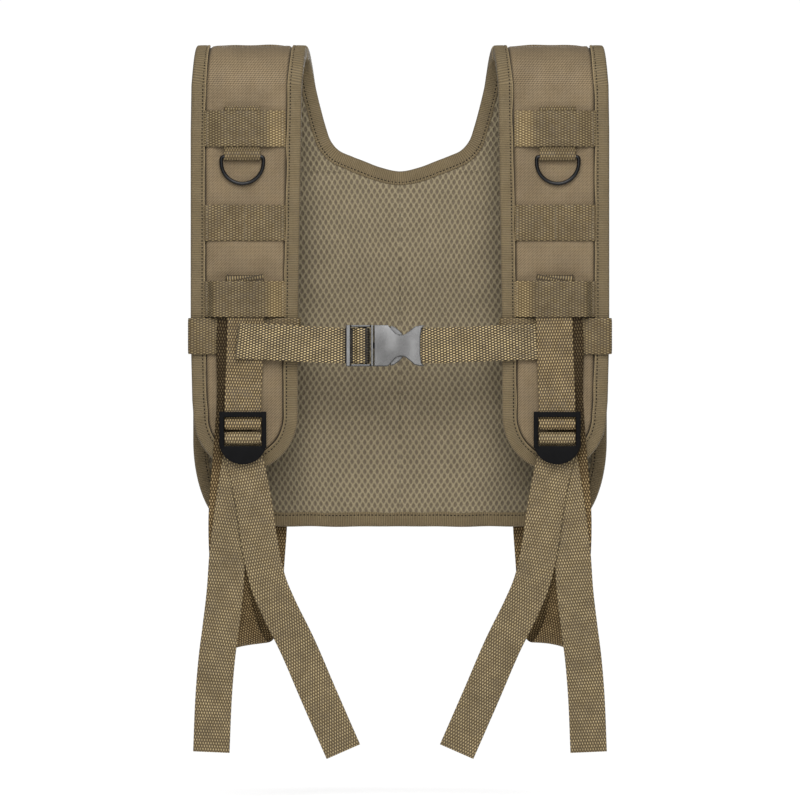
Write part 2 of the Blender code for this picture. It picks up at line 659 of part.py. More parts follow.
def add_sternum_straps(materials):
    """The right strap loops round the housing's bar. The left one wraps the adjuster's bar and
    comes back as a tail over the left hanger."""
    upright = Vector((0, 0, 1))
    flat = -STRAP_LAYER
    loop_radius = FEMALE_BAR_RADIUS + GAP + WEB / 2
    main = [(100.0, flat / MM, -178.2), (84, flat / MM, -178.4), (70, flat / MM, -178.9), (50, -32.6, -179.8),
            (30, -34.8, -180.5), (19, -35.8, -180.8)]
    right = smooth_path([Vector(point) * MM for point in main], 2)
    for k in range(9):
        turn = math.radians(90 + 180 * k / 8)
        x = FEMALE_BAR_X + loop_radius * math.cos(turn)
        right.append(Vector((x, BUCKLE_Y - loop_radius * math.sin(turn), BUCKLE_Z)))
    right += [Vector((19 * MM, BUCKLE_Y + loop_radius, BUCKLE_Z)), Vector((34 * MM, -32.2 * MM, BUCKLE_Z))]
    ribbon("sternum_strap_right", right, materials["webbing"], 24.6 * MM, upright)

    wrap_radius = MALE_BAR_HALF_THICK + GAP + WEB / 2
    fixed = [(-100, flat / MM, -177.5), (-80, flat / MM, -178.5), (-60, flat / MM, -179.8),
             (-36, -31.4, -180.8)]
    tail = [(-33.6, -33.4, -180.8), (-37.5, -33.3, -180.8), (-48, -33.6, -180.6), (-64, -34.2, -179.9),
            (-84, -TAIL_LAYER / MM, -178.7), (-113, -TAIL_LAYER / MM, -177.4)]
    left = smooth_path([Vector(point) * MM for point in fixed], 2)
    end = MALE_BAR_X + MALE_BAR_HALF_WIDTH - GAP
    for k in range(9):
        turn = math.radians(-90 + 180 * k / 8)
        x = end + wrap_radius * math.cos(turn)
        left.append(Vector((x, BUCKLE_Y - wrap_radius * math.sin(turn), BUCKLE_Z)))
    left.append(Vector((MALE_BAR_X - MALE_BAR_HALF_WIDTH, BUCKLE_Y - wrap_radius, BUCKLE_Z)))
    left += smooth_path([Vector(point) * MM for point in tail], 2)
    ribbon("sternum_strap_left", left, materials["webbing"], 24.6 * MM, upright)


# ---------------------------------------------------------------- back of the panel

def add_back_details(materials):
    """Webbing rows across the back panel, and a hang loop under the neck."""
    for number, z in enumerate((-110, -160, -210), start=1):
        path = [Vector((x * MM, FIRST_LAYER, z * MM)) for x in (-120, 0, 120)]
        ribbon(f"back_row_{number}", path, materials["webbing"], 25 * MM, Vector((0, 0, 1)))
    arch = [(-30, FIRST_LAYER / MM), (-22, FIRST_LAYER / MM + 0.4), (-14, 32.6), (0, 35.6), (14, 32.6),
            (22, FIRST_LAYER / MM + 0.4), (30, FIRST_LAYER / MM)]
    path = smooth_path([Vector((x, y, -80)) * MM for x, y in arch], 3)
    ribbon("hang_loop", path, materials["webbing"], 15 * MM, Vector((0, 0, 1)))


def main():
    for old in list(bpy.data.objects):
        bpy.data.objects.remove(old)
    materials = {
        "fabric": make_material("fabric", (0.27, 0.20, 0.13), 0.85),
        "foam": make_material("foam", (0.75, 0.73, 0.68), 0.9),
        "mesh": make_material("mesh", (0.20, 0.17, 0.10), 0.9),
        "binding": make_material("binding", (0.19, 0.14, 0.085), 0.8),
        "webbing": make_material("webbing", (0.22, 0.17, 0.09), 0.75),
        "lock": make_material("lock", (0.012, 0.012, 0.014), 0.45),
        "buckle": make_material("buckle", (0.17, 0.17, 0.17), 0.4),
    }
    add_yoke(materials)
    add_rows(materials)
    add_ring_tabs(materials)
    add_rings(materials)
    add_support_straps(materials)
    add_keeper_bands(materials)
    add_ladder_locks(materials)
    add_hanger_loops(materials)
    add_belt_straps(materials)
    add_buckle_female(materials)
    add_buckle_male(materials)
    add_latch_arms(materials)
    add_sternum_straps(materials)
    add_back_details(materials)


main()
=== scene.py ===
"""The looks of a binocular harness pack: padded fabric, air mesh, bindings, webbing and buckles.

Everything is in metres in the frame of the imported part: +X to the right as the front is looked at,
+Y towards the back panel and +Z up. "left" is the -X side. One-sided shapes are written for +X and mirrored.
"""

import math

import bpy
import numpy as np
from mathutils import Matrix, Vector
from mathutils.kdtree import KDTree


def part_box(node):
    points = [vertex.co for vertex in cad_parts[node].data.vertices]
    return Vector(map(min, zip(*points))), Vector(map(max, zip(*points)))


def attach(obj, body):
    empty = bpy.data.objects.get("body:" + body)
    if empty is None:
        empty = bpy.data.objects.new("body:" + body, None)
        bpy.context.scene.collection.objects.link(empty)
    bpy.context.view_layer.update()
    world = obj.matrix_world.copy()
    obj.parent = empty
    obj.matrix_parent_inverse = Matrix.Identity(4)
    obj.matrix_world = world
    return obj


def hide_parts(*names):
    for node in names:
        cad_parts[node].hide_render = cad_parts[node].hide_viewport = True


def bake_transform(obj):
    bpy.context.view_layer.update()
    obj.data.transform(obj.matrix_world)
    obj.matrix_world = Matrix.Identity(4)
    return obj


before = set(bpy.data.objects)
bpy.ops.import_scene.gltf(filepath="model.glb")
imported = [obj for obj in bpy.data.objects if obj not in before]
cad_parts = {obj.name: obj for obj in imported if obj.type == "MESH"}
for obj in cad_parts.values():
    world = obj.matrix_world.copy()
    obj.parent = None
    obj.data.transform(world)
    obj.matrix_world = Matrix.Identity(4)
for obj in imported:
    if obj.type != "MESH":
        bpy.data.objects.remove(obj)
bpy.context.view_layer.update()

MM = 0.001
TURN = 2 * math.pi
GAP = 0.3 * MM
SIDES = {"left": -1, "right": 1}
UPRIGHT = (0, 0, 1)
WEAVE = "Weave"
# vertex values that paint shade into a piece's colour
PAINTED_SHADE = "PaintedShade"

# the folded yoke: its tables give, in mm, x at distances from the shoulder's crest
FOLD_RADIUS = 18.0 * MM
YOKE = 10.0 * MM
LINING = 2.4 * MM
QUARTER_TURN = FOLD_RADIUS * math.pi / 2
FACE = FOLD_RADIUS + YOKE
PAD_OUTER = [(0, 141.8), (28, 145.0), (60, 145.5), (200, 145.5), (247, 144.4), (257.2, 143.6)]
PAD_INNER = [(0, 64.4), (28, 68.0), (150, 70.0), (220, 70.8), (257.2, 70.8)]
PAD_ROUND_START = 257.2 * MM
PAD_ROUND_DEPTH = 38.9 * MM
PANEL_OUTER = [(0, 141.8), (28, 143.6), (45, 144.4), (274.6, 144.4)]
PANEL_CORNER_START = 274.6 * MM
PANEL_CORNER_DEPTH = 61.0 * MM
PANEL_CORNER_WIDTH = 28.5 * MM
NECK_EDGE = [(0, 64.2), (28, 58.9), (38, 56.6), (56, 51.8), (66, 48.2), (72.5, 42.6), (76.5, 34.0),
             (80.0, 25.0), (84.2, 14.0), (87.1, 0)]
NECK_BOTTOM = 87.1 * MM
EDGE_STEP = 1.0 * MM
CLOTH_STEP = 1.0 * MM

# padding: the faces are pinched where the tape is sewn on, and crowned in the middle
TAPE = 0.8 * MM
TAPE_LAP = 10.0 * MM
EDGE_INSET = TAPE + GAP
FRONT_PINCH = 1.5 * MM
BACK_PINCH = 0.9 * MM
ROLL = 17.0 * MM
TUCK = 1.6 * MM
TUCK_REACH = 0.8 * MM

# the tape's section: how far in from the edge its faces reach, and how high they stand in tape thicknesses
TAPE_REACH = np.array([10.0, 9.7, 8.6, 7.9, 7.2, 5.6, 4.0]) * MM
TAPE_RISE = np.array([0.35, 0.95, 1.05, 0.6, 0.95, 1.0, 1.0])
TAPE_INSIDE = np.array([10.0, 3.5, 1.0, 3.5, 10.0]) * MM
TAPE_TURN = 2.8 * MM
FOLD_POWER = 0.6
RIB_PITCH = 1.25 * MM
RIB_HEIGHT = 0.11 * MM

# webbing
WEB = 1.2 * MM
WEB_WIDTH = 25.4 * MM
WEB_EDGE = 0.35
LAYER = WEB + GAP
FIRST_LAYER = FACE + GAP + WEB / 2
YARN_ALONG = 4.2 * MM
YARN_ACROSS = WEB_WIDTH / 28
YARN_RELIEF = 0.18 * MM
YARN_MIDDLE = 0.3
YARN_ROUND = 0.25
YARN_LEAN = 0.06
FLOAT_LOW = 0.2
FLOAT_HIGH = 1.25
# tints of the deep yarns, partly painted shade, and of the raised ones, partly painted glint
DEEP_SHADE_TINT = (1.0, 0.92, 0.8)
RAISED_GLINT_TINT = (1.0, 1.06, 1.08)
ALONG_STEP = YARN_ALONG / 6
ACROSS_STEPS = 56

# stitches
STITCH_INSET = 8.1 * MM
STITCH_HEIGHT = 0.28 * MM
STITCH_SIDES = 6
STITCH_PROUD = 0.1 * MM
TACK_PITCH = 1.1 * MM

# the air mesh's staggered oval holes
CELL_WIDTH = 4.17 * MM
CELL_HEIGHT = 6.8 * MM
HOLE_HALF_WIDTH = 1.2 * MM
HOLE_HALF_HEIGHT = 2.2 * MM
HOLE_DEPTH = 0.7 * MM
HOLE_POWER = 1.6
HOLE_SIZES = ((CELL_WIDTH, HOLE_HALF_WIDTH), (CELL_HEIGHT, HOLE_HALF_HEIGHT))
HOLE_FLOOR = 0.55
HOLE_RIM = 1.2
PAINTED_RIM = 1.25
SEEN_HALF_WIDTH = 84.0 * MM

# the parts of a front pad that swell: from one height down to another, and how far
PAD_SWELLS = [(6.0 * MM, -16.0 * MM, 0.3 * MM), (-49.0 * MM, -83.0 * MM, 0.9 * MM),
              (-108.0 * MM, -133.0 * MM, 0.8 * MM), (-188.0 * MM, -262.0 * MM, 1.3 * MM)]


# ------------ node helpers

def set_inputs(node, values):
    """Sets a node's inputs, by name or place, to numbers, or links them to fields."""
    for key, value in values.items():
        if isinstance(value, Field):
            node.id_data.links.new(value.socket, node.inputs[key])
        else:
            node.inputs[key].default_value = value


class Field:
    """The output of a new node: a number or colour that varies over a surface. Arithmetic adds math nodes."""

    def __init__(self, tree, kind, values, output=0, **settings):
        node = tree.nodes.new(kind)
        for key, value in settings.items():
            setattr(node, key, value)
        set_inputs(node, values)
        self.tree = tree
        self.socket = node.outputs[output]

    def calc(self, operation, *others):
        values = dict(enumerate((self, *others)))
        return Field(self.tree, "ShaderNodeMath", values, operation=operation)

    def __add__(self, other):
        return self.calc("ADD", other)

    def __sub__(self, other):
        return self.calc("SUBTRACT", other)

    def __mul__(self, other):
        return self.calc("MULTIPLY", other)

    def __truediv__(self, other):
        return self.calc("DIVIDE", other)


def weave_place(tree):
    """Distances along and across the cloth, in metres."""
    place_on = Field(tree, "ShaderNodeUVMap", {}, uv_map=WEAVE)
    return [Field(tree, "ShaderNodeSeparateXYZ", {0: place_on}, axis) for axis in (0, 1)]


def ramp(value, low, high, new_low=0.0, new_high=1.0):
    """A smooth step of the value from low to high."""
    values = dict(enumerate((value, low, high, new_low, new_high)))
    return Field(value.tree, "ShaderNodeMapRange", values, interpolation_type="SMOOTHSTEP")


def noise(tree, size, detail=2.0):
    """Noise whose grains are about `size` metres across, in the frame of the object."""
    spot = Field(tree, "ShaderNodeTexCoord", {}, "Object")
    return Field(tree, "ShaderNodeTexNoise", {"Vector": spot, "Scale": 1 / size, "Detail": detail})


def wave(value, pitch):
    return (value * (TURN / pitch)).calc("SINE")


def mix(share, dark, light):
    """A colour between two colours or fields."""
    dark, light = (color if isinstance(color, Field) else (*color, 1) for color in (dark, light))
    return Field(share.tree, "ShaderNodeMix", {0: share, 6: dark, 7: light}, 2, data_type="RGBA")


def shaded(color, amount, tint=(1, 1, 1)):
    return tuple(channel * amount * share for channel, share in zip(color, tint))


def scaled(color, amount):
    """The colour field times a number field."""
    return Field(color.tree, "ShaderNodeVectorMath", {0: color, "Scale": amount}, operation="SCALE")


def mottled(color, size, amount):
    """The colour, lighter and darker in soft patches."""
    return scaled(color, ramp(noise(color.tree, size, 3.0), 0.3, 0.7, 1 - amount, 1 + amount))


def with_painted_shade(color, left):
    """The colour, down to the share `left` of it where the piece's painted shade marks are 1."""
    shade_marks = Field(color.tree, "ShaderNodeAttribute", {}, "Fac", attribute_name=PAINTED_SHADE)
    return scaled(color, ramp(shade_marks, 0.0, 1.0, 1.0, left))


def new_material(name, roughness, sheen=0.0, specular=0.5):
    """A material, its tree and its shader."""
    material = bpy.data.materials.new(name)
    material.use_nodes = True
    shader = material.node_tree.nodes["Principled BSDF"]
    set_inputs(shader, {"Roughness": roughness, "Sheen Weight": sheen, "Sheen Roughness": 0.45,
                        "Specular IOR Level": specular})
    return material, material.node_tree, shader


def finish_material(shader, color, patches, height, depth, gloss=None):
    """Links the colour, a bump of the given depth in metres, and an uneven roughness.

    patches is the size and amount of the colour's mottling. gloss is the lowest and the highest roughness and
    the size of its grains.
    """
    bump = Field(color.tree, "ShaderNodeBump", {"Strength": 1.0, "Distance": depth, "Height": height})
    set_inputs(shader, {"Base Color": mottled(color, *patches), "Normal": bump})
    if gloss is not None:
        low, high, size = gloss
        set_inputs(shader, {"Roughness": ramp(noise(color.tree, size, 4.0), 0.35, 0.65, low, high)})


# ------------ materials

FIBRE = 0.5 * MM
COARSE_FIBRE = 0.6 * MM
CLOTH_RIB = 1.83 * MM
KNIT_PITCH = 0.9 * MM
PLY_PITCH = 2.2 * MM
WARP_PITCH = 0.9 * MM


def webbing_material(name, color, contrast, fade=None, gloss=0.3):
    """Webbing: staggered yarns that float over and under each other, the raised ones painted lighter and
    yellower, partly as painted glint, the deep ones darker, partly as painted shade.

    fade is two places along it and the brightness before and after them.
    """
    material, tree, shader = new_material(name, 0.62, 0.2 * gloss, gloss)
    along, across = weave_place(tree)
    row = across / YARN_ACROSS
    shift = row.calc("FLOOR").calc("PINGPONG", 1.0) * 0.5
    lean = row.calc("FRACT") * YARN_LEAN + shift
    lengthwise = ((along / YARN_ALONG + lean) * TURN).calc("COSINE")
    sideways = (row * TURN).calc("COSINE")
    yarn = ramp(lengthwise - sideways * YARN_ROUND, FLOAT_LOW, FLOAT_HIGH)
    mixed = (noise(tree, FIBRE) - 0.5) * 0.35 + yarn
    worn = ramp(noise(tree, 9 * MM), 0.3, 0.7, 0.7, 1.15)
    deep_shade = shaded(color, 1 - contrast, DEEP_SHADE_TINT)
    raised_glint = shaded(color, 1 + 3 * contrast, RAISED_GLINT_TINT)
    tone = mix(mixed * worn, deep_shade, raised_glint)
    if fade is not None:
        tone = scaled(tone, ramp(along, *fade))
    # darker where the piece's marks paint shade
    finish_material(shader, with_painted_shade(tone, 0.1), (14 * MM, 0.08), mixed, 0.25 * MM, (0.5, 0.75, 4 * MM))
    return material


def fabric_material(name, color):
    """Coated pack cloth: fine diagonal crossing ribs with soft patches, and painted shade where the piece
    marks it.
    """
    material, tree, shader = new_material(name, 0.7, 0.05, 0.22)
    along, across = weave_place(tree)
    rising, falling = wave(along + across, CLOTH_RIB), wave(along - across, CLOTH_RIB)
    ribs = ramp(rising * falling + rising * 0.5, -1.3, 1.3)
    mixed = (noise(tree, FIBRE) - 0.5) * 0.6 + ribs
    tone = mix(mixed, shaded(color, 0.38), shaded(color, 1.62))
    # painted shade where the cloth tucks in under the tape's edge
    finish_material(shader, with_painted_shade(tone, 0.12), (24 * MM, 0.1), mixed, 0.16 * MM, (0.6, 0.82, 9 * MM))
    return material


def tape_material(name, color):
    """Binding tape: fine ribs across its length, and a painted highlight along its folded edge."""
    material, tree, shader = new_material(name, 0.7, 0.05, 0.22)
    along, across = weave_place(tree)
    ribbed = ramp(wave(across, WARP_PITCH) * 0.45 + wave(along, RIB_PITCH), -1.4, 1.4)
    mixed = (noise(tree, COARSE_FIBRE) - 0.5) * 0.7 + ribbed
    tone = mix(mixed, shaded(color, 0.68), shaded(color, 1.32))
    # painted highlight: 1.9 times as bright within about a millimetre of the folded edge
    tone = mix(ramp(across, 0.5 * MM, 1.1 * MM), shaded(color, 1.9), tone)
    finish_material(shader, tone, (13 * MM, 0.07), mixed, 0.2 * MM, (0.6, 0.82, 6 * MM))
    return material


def hole_distance(along, across, shift):
    """How far from the middle of the nearest hole, in hole radii, for one of the mesh's two sets of rows."""
    reaches = []
    for spot, (pitch, radius) in zip((along, across), HOLE_SIZES):
        cells = spot / pitch + shift
        off = (cells - cells.calc("ROUND")) * (pitch / radius)
        reaches.append(off.calc("ABSOLUTE").calc("POWER", HOLE_POWER))
    return (reaches[0] + reaches[1]).calc("POWER", 1 / HOLE_POWER)


def air_mesh_material(name, lattice, hole):
    """Spacer mesh: staggered oval holes in a knitted lattice, with painted shade towards the panel's sides,
    near the pads.
    """
    material, tree, shader = new_material(name, 0.75, 0.05, 0.2)
    along, across = weave_place(tree)
    near = hole_distance(along, across, 0.0).calc("MINIMUM", hole_distance(along, across, 0.5))
    solid = ramp(near, HOLE_FLOOR, PAINTED_RIM)
    yarn = ramp(near, 1.3, 1.9)
    fibres = wave(across, KNIT_PITCH) * 0.1 + noise(tree, COARSE_FIBRE)
    tone = mix(solid, hole, mix(yarn * -0.25 + 1.0, hole, lattice))
    tone = scaled(tone, ramp(fibres, 0.25, 0.75, 0.85, 1.15))
    # painted shade: down to 0.8 from 48 to 78 mm out from the middle
    tone = scaled(tone, ramp(along, 48 * MM, 78 * MM, 1.0, 0.8))
    finish_material(shader, tone, (18 * MM, 0.05), fibres * 0.25 + solid, 0.45 * MM, (0.65, 0.85, 5 * MM))
    return material


def thread_material(name, color, sheen=0.2, specular=0.5):
    """Sewing thread: twisted plies."""
    material, tree, shader = new_material(name, 0.5, sheen, specular)
    spot = Field(tree, "ShaderNodeTexCoord", {}, "Object")
    plies = Field(tree, "ShaderNodeTexWave", {"Vector": spot, "Scale": 1 / PLY_PITCH}, 1,
                  bands_direction="DIAGONAL")
    tone = mix(plies, shaded(color, 0.8), shaded(color, 1.2))
    finish_material(shader, tone, (7 * MM, 0.1), plies, 0.05 * MM)
    return material


def plastic_material(name, color, low, high, worn, specular):
    """Moulded plastic: a fine grain, uneven gloss, lighter rubbed edges, and painted shade where the piece
    marks it.
    """
    material, tree, shader = new_material(name, high, specular=specular)
    edges = ramp(Field(tree, "ShaderNodeNewGeometry", {}, "Pointiness"), 0.53, 0.62)
    scuffs = ramp(noise(tree, 2.5 * MM, 6.0), 0.45, 0.65)
    # near black painted shade on the marked sides and rims
    tone = with_painted_shade(mix(edges * scuffs * 0.7, color, worn), 0.06)
    grain = noise(tree, 0.35 * MM, 3.0)
    finish_material(shader, tone, (8 * MM, 0.08), grain, 0.03 * MM, (low, high, 5 * MM))
    return material


def make_materials():
    black, worn_black = (0.003, 0.003, 0.0033), (0.03, 0.03, 0.032)
    # painted highlight on a row's inner end: 1.6 times as bright for 9 mm, gone by 16 mm; the rest of that
    # webbing is a little darker, as painted shade
    painted_highlight_ends = (9 * MM, 16 * MM, 1.6, 1.0)
    # painted shade: the support straps are painted darker than their own ends, the hangers, and darker still,
    # to 0.3, from 250 to 310 mm along, beside the hanger
    shade_below = (250 * MM, 310 * MM, 1.0, 0.3)
    return {
        "fabric": fabric_material("fabric", (0.146, 0.107, 0.061)),
        "mesh": air_mesh_material("air_mesh", (0.222, 0.184, 0.113), (0.112, 0.088, 0.058)),
        "binding": tape_material("binding", (0.128, 0.096, 0.051)),
        # contrast sets how much lighter the raised yarns are painted: partly painted glint, strongest on the
        # sternum strap and the hangers
        "row": webbing_material("webbing_row", (0.112, 0.080, 0.037), 0.46),
        "row_painted_highlight": webbing_material("webbing_row_painted_highlight", (0.104, 0.075, 0.035), 0.46, painted_highlight_ends),
        "hanger": webbing_material("webbing_hanger", (0.147, 0.103, 0.048), 0.62),
        "strap": webbing_material("webbing_strap", (0.152, 0.112, 0.057), 0.55),
        "strap_shade": webbing_material("webbing_under_arm_painted_shade", (0.135, 0.092, 0.044), 0.6, shade_below, 0.06),
        "sternum": webbing_material("webbing_sternum", (0.174, 0.126, 0.062), 0.8),
        "thread": thread_material("thread", (0.15, 0.112, 0.058)),
        # near black: the tape's stitches are painted as shaded dimples
        "tape_thread_painted_shade": thread_material("tape_thread_painted_shade", (0.008, 0.006, 0.004), 0.0, 0.1),
        "black": plastic_material("black_plastic", black, 0.5, 0.62, worn_black, 0.06),
        "ring": plastic_material("black_wire", black, 0.14, 0.24, worn_black, 0.2),
        # the buckle's grey stands partly for the sheen of black plastic: painted sheen
        "buckle": plastic_material("buckle_plastic", (0.098, 0.097, 0.096), 0.2, 0.3, (0.2, 0.2, 0.2), 0.7),
    }


# ------------ mesh helpers

def add_object(name, data):
    made = bpy.data.objects.new(name, data)
    bpy.context.scene.collection.objects.link(made)
    return made


def add_piece(name, points, faces, corner_places, material):
    """An object from points, faces and the cloth place of each face corner. Its faces are turned outwards."""
    corners = np.array([face[:3] for face in faces])
    a, b, c = (points[corners[:, k]] for k in range(3))
    fourth = points[np.array([face[3 % len(face)] for face in faces])]
    volume = np.einsum("ij,ij->", a, np.cross(b, c)) + np.einsum("ij,ij->", a, np.cross(c, fourth))
    if volume < 0:
        starts = np.cumsum([0] + [len(face) for face in faces])
        order = np.concatenate([np.arange(end - 1, start - 1, -1) for start, end in zip(starts, starts[1:])])
        corner_places = corner_places[order]
        faces = [face[::-1] for face in faces]
    mesh = bpy.data.meshes.new(name)
    mesh.from_pydata(points.tolist(), [], faces)
    layer = mesh.uv_layers.new(name=WEAVE)
    layer.data.foreach_set("uv", corner_places.astype(np.float32).ravel())
    mesh.materials.append(material)
    mesh.shade_smooth()
    return add_object(name, mesh)


def vertex_vectors(piece, key):
    values = np.zeros(3 * len(piece.data.vertices), np.float32)
    piece.data.vertices.foreach_get(key, values)
    return values.reshape(-1, 3)


def mark_painted_shade(piece, marks):
    """Stores how far painted shade darkens each vertex, from 0 to 1, for the material to read."""
    layer = piece.data.attributes.new(PAINTED_SHADE, "FLOAT", "POINT")
    layer.data.foreach_set("value", np.array(marks, np.float32))


def grid_faces(rows, columns, wrap_rows=False, wrap_columns=False):
    """Quads of a grid of points, and the row and column of each of their corners."""
    row, column = np.meshgrid(np.arange(rows if wrap_rows else rows - 1),
                              np.arange(columns if wrap_columns else columns - 1), indexing="ij")
    row, column = row.ravel(), column.ravel()
    places = np.stack([np.stack([row, column], -1), np.stack([row, column + 1], -1),
                       np.stack([row + 1, column + 1], -1), np.stack([row + 1, column], -1)], 1)
    faces = (places[..., 0] % rows) * columns + places[..., 1] % columns
    return faces, places


def shell_faces(quads, below):
    """Faces of a closed layer: its top, its underside, whose points come `below` later, and its rim."""
    edges = np.stack([quads, np.roll(quads, -1, 1)], -1).reshape(-1, 2)
    _, place_in, count = np.unique(np.sort(edges, 1), axis=0, return_inverse=True, return_counts=True)
    rim = edges[count[place_in.ravel()] == 1]
    walls = np.stack([rim[:, 1], rim[:, 0], rim[:, 0] + below, rim[:, 1] + below], -1)
    return np.vstack([quads, quads[:, ::-1] + below, walls])


def unit(vectors):
    return vectors / np.linalg.norm(vectors, axis=-1, keepdims=True)


def closed_tangents(loop):
    return unit(np.roll(loop, -1, 0) - np.roll(loop, 1, 0))


def in_mm(points):
    return [tuple(value * MM for value in point) for point in points]


def mirrored(points, side):
    return [(side * x, y, z) for x, y, z in points]


def arc(centre, radius, start, end, steps):
    """Points of an arc in the YZ plane. An angle of 0 points to the front, and 90 degrees points up."""
    x, y, z = centre
    turns = np.radians(np.linspace(start, end, steps + 1))
    return [(x, y - radius * math.cos(turn), z + radius * math.sin(turn)) for turn in turns]


def smooth_curve(points, steps=12):
    """A smooth curve through the points. It doesn't overshoot where they crowd together."""
    points = np.array(points, float)
    padded = np.vstack([2 * points[0] - points[1], points, 2 * points[-1] - points[-2]])
    spans = []
    for k in range(len(points) - 1):
        p = padded[k:k + 4]
        knots = np.concatenate([[0], np.cumsum(np.sqrt(np.linalg.norm(np.diff(p, axis=0), axis=1)))])
        t = np.linspace(knots[1], knots[2], steps, endpoint=False)[:, None]

        def between(low, high, start, end):
            return (low * (knots[end] - t) + high * (t - knots[start])) / (knots[end] - knots[start])

        first = [between(p[j], p[j + 1], j, j + 1) for j in range(3)]
        second = [between(first[j], first[j + 1], j, j + 2) for j in range(2)]
        spans.append(between(second[0], second[1], 1, 2))
    return np.vstack(spans + [points[-1:]])


def even(curve, step):
    """Evenly spaced points along a curve, about a step apart, and their distances along it."""
    lengths = np.linalg.norm(np.diff(curve, axis=0), axis=1)
    distance = np.concatenate([[0], np.cumsum(lengths)])
    wanted = np.linspace(0, distance[-1], max(2, round(distance[-1] / step)) + 1)
    points = np.stack([np.interp(wanted, distance, curve[:, k]) for k in range(curve.shape[1])], -1)
    return points, wanted


def ripple(x, s, size, seed):
    """Soft seeded waves from about -1 to 1, with a wavelength of about `size`."""
    chance = np.random.default_rng(seed)
    total = np.zeros(np.broadcast(x, s).shape)
    for _ in range(7):
        angle = chance.uniform(0, TURN)
        phase = chance.uniform(0, TURN)
        scale = chance.uniform(0.7, 1.5)
        total += np.sin((x * math.cos(angle) + s * math.sin(angle)) * TURN * scale / size + phase)
    return total / 3.5


def step_between(value, low, high):
    t = np.clip((value - low) / (high - low), 0, 1)
    return t * t * (3 - 2 * t)


def place(piece, body, slot, *nodes):
    """The piece moves with the body, and stands for the CAD nodes."""
    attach(piece, body)
    if nodes:
        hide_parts(*nodes)
    return piece


# ------------ webbing and stitches

def yarn_height(along, across):
    """The relief of webbing, from 0 to 1. Its material paints the same yarns with a slight lean."""
    row = across / YARN_ACROSS
    shift = (np.floor(row + 1e-6) % 2) * 0.5
    lengthwise = np.cos(TURN * (along / YARN_ALONG + shift))
    return step_between(lengthwise - YARN_ROUND * np.cos(TURN * row), FLOAT_LOW, FLOAT_HIGH)


def webbing(name, route, material, width=WEB_WIDTH, across=(1, 0, 0), twist=None, bow=0.25 * MM, seed=1,
            slant=(0, 0), wrap=False):
    """Flat webbing along a route. Its width lies along `across`, as far as the route allows.

    twist gives a turn in degrees at even places along the route. slant cuts the two ends askew.
    """
    curve = np.array(route, float) if wrap else smooth_curve(route)
    centres, along = even(curve, ALONG_STEP)
    if wrap:
        centres, along = centres[:-1], along[:-1]
        forward = closed_tangents(centres)
    else:
        forward = unit(np.gradient(centres, axis=0))
    across = np.array(across, float)
    side = unit(across - forward * (forward @ across)[:, None])
    rise = np.cross(side, forward)
    if twist is not None:
        turn = np.radians(np.interp(along, np.linspace(0, along[-1], len(twist)), twist))[:, None]
        side, rise = side * np.cos(turn) + rise * np.sin(turn), rise * np.cos(turn) - side * np.sin(turn)
    place_across = np.linspace(-width / 2, width / 2, ACROSS_STEPS + 1)
    share = place_across / (width / 2)
    thick = WEB / 2 * (WEB_EDGE + (1 - WEB_EDGE) * np.sqrt(np.clip(1 - np.abs(share) ** 8, 0, 1)))
    relief = YARN_RELIEF * (yarn_height(along[:, None], place_across[None, :]) - YARN_MIDDLE)
    relief *= np.clip(1 - share ** 12, 0, 1)
    arch = bow * (1 - share ** 2)[None, :] * ripple(along, 0 * along, 60 * MM, seed)[:, None]
    askew = np.zeros((len(along), len(share)))
    if not wrap:
        reach = np.clip(1 - along / width, 0, 1)[:, None] ** 2
        first, last = (math.tan(math.radians(angle)) for angle in slant)
        askew = share[None, :] * width / 2 * (first * reach + last * reach[::-1])
    middle = centres[:, None] + side[:, None] * place_across[None, :, None]
    middle = middle + forward[:, None] * askew[..., None]
    front = middle + rise[:, None] * (thick + relief + arch)[..., None]
    back = middle - rise[:, None] * (thick + relief - arch)[..., None]
    rings = np.concatenate([front, back[:, ::-1]], 1)
    columns = rings.shape[1]
    faces, places = grid_faces(len(rings), columns, wrap_rows=wrap, wrap_columns=True)
    lengths = np.append(along, along[-1] + ALONG_STEP)
    widths = np.concatenate([place_across, place_across[::-1], place_across[:1]])
    corner_places = np.stack([lengths[places[..., 0]], widths[places[..., 1]]], -1).reshape(-1, 2)
    faces = faces.tolist()
    if not wrap:
        last_row = (len(rings) - 1) * columns
        caps = []
        for k in range(ACROSS_STEPS):
            partner = columns - 1 - k
            near, far = widths[k], widths[k + 1]
            faces.append([k + 1, k, partner, partner - 1])
            faces.append([last_row + k, last_row + k + 1, last_row + partner - 1, last_row + partner])
            caps += [(lengths[0], spot) for spot in (far, near, near, far)]
            caps += [(along[-1], spot) for spot in (near, far, far, near)]
        corner_places = np.vstack([corner_places, caps])
    return add_piece(name, rings.reshape(-1, 3), faces, corner_places, material)


def paint_shade(piece, axis, spans, soft=0.6 * MM, depth=1.0):
    """Marks painted shade on webbing, between pairs of places along an axis."""
    spots = vertex_vectors(piece, "co")[:, axis]
    marks = 0
    for low, high in spans:
        after_start = step_between(spots, low - soft, low + soft)
        marks = marks + after_start * (1 - step_between(spots, high - soft, high + soft))
    mark_painted_shade(piece, depth * marks)


def route_length(route):
    curve = smooth_curve(route)
    return float(np.linalg.norm(np.diff(curve, axis=0), axis=1).sum())


def seam(points, normals, pitch=2.5 * MM, share=0.66):
    """Centres, directions, normals and the length of the stitches along a line of points."""
    both, _ = even(np.hstack([points, normals]), pitch)
    middles = (both[1:] + both[:-1]) / 2
    return middles[:, :3], both[1:, :3] - both[:-1, :3], middles[:, 3:], pitch * share


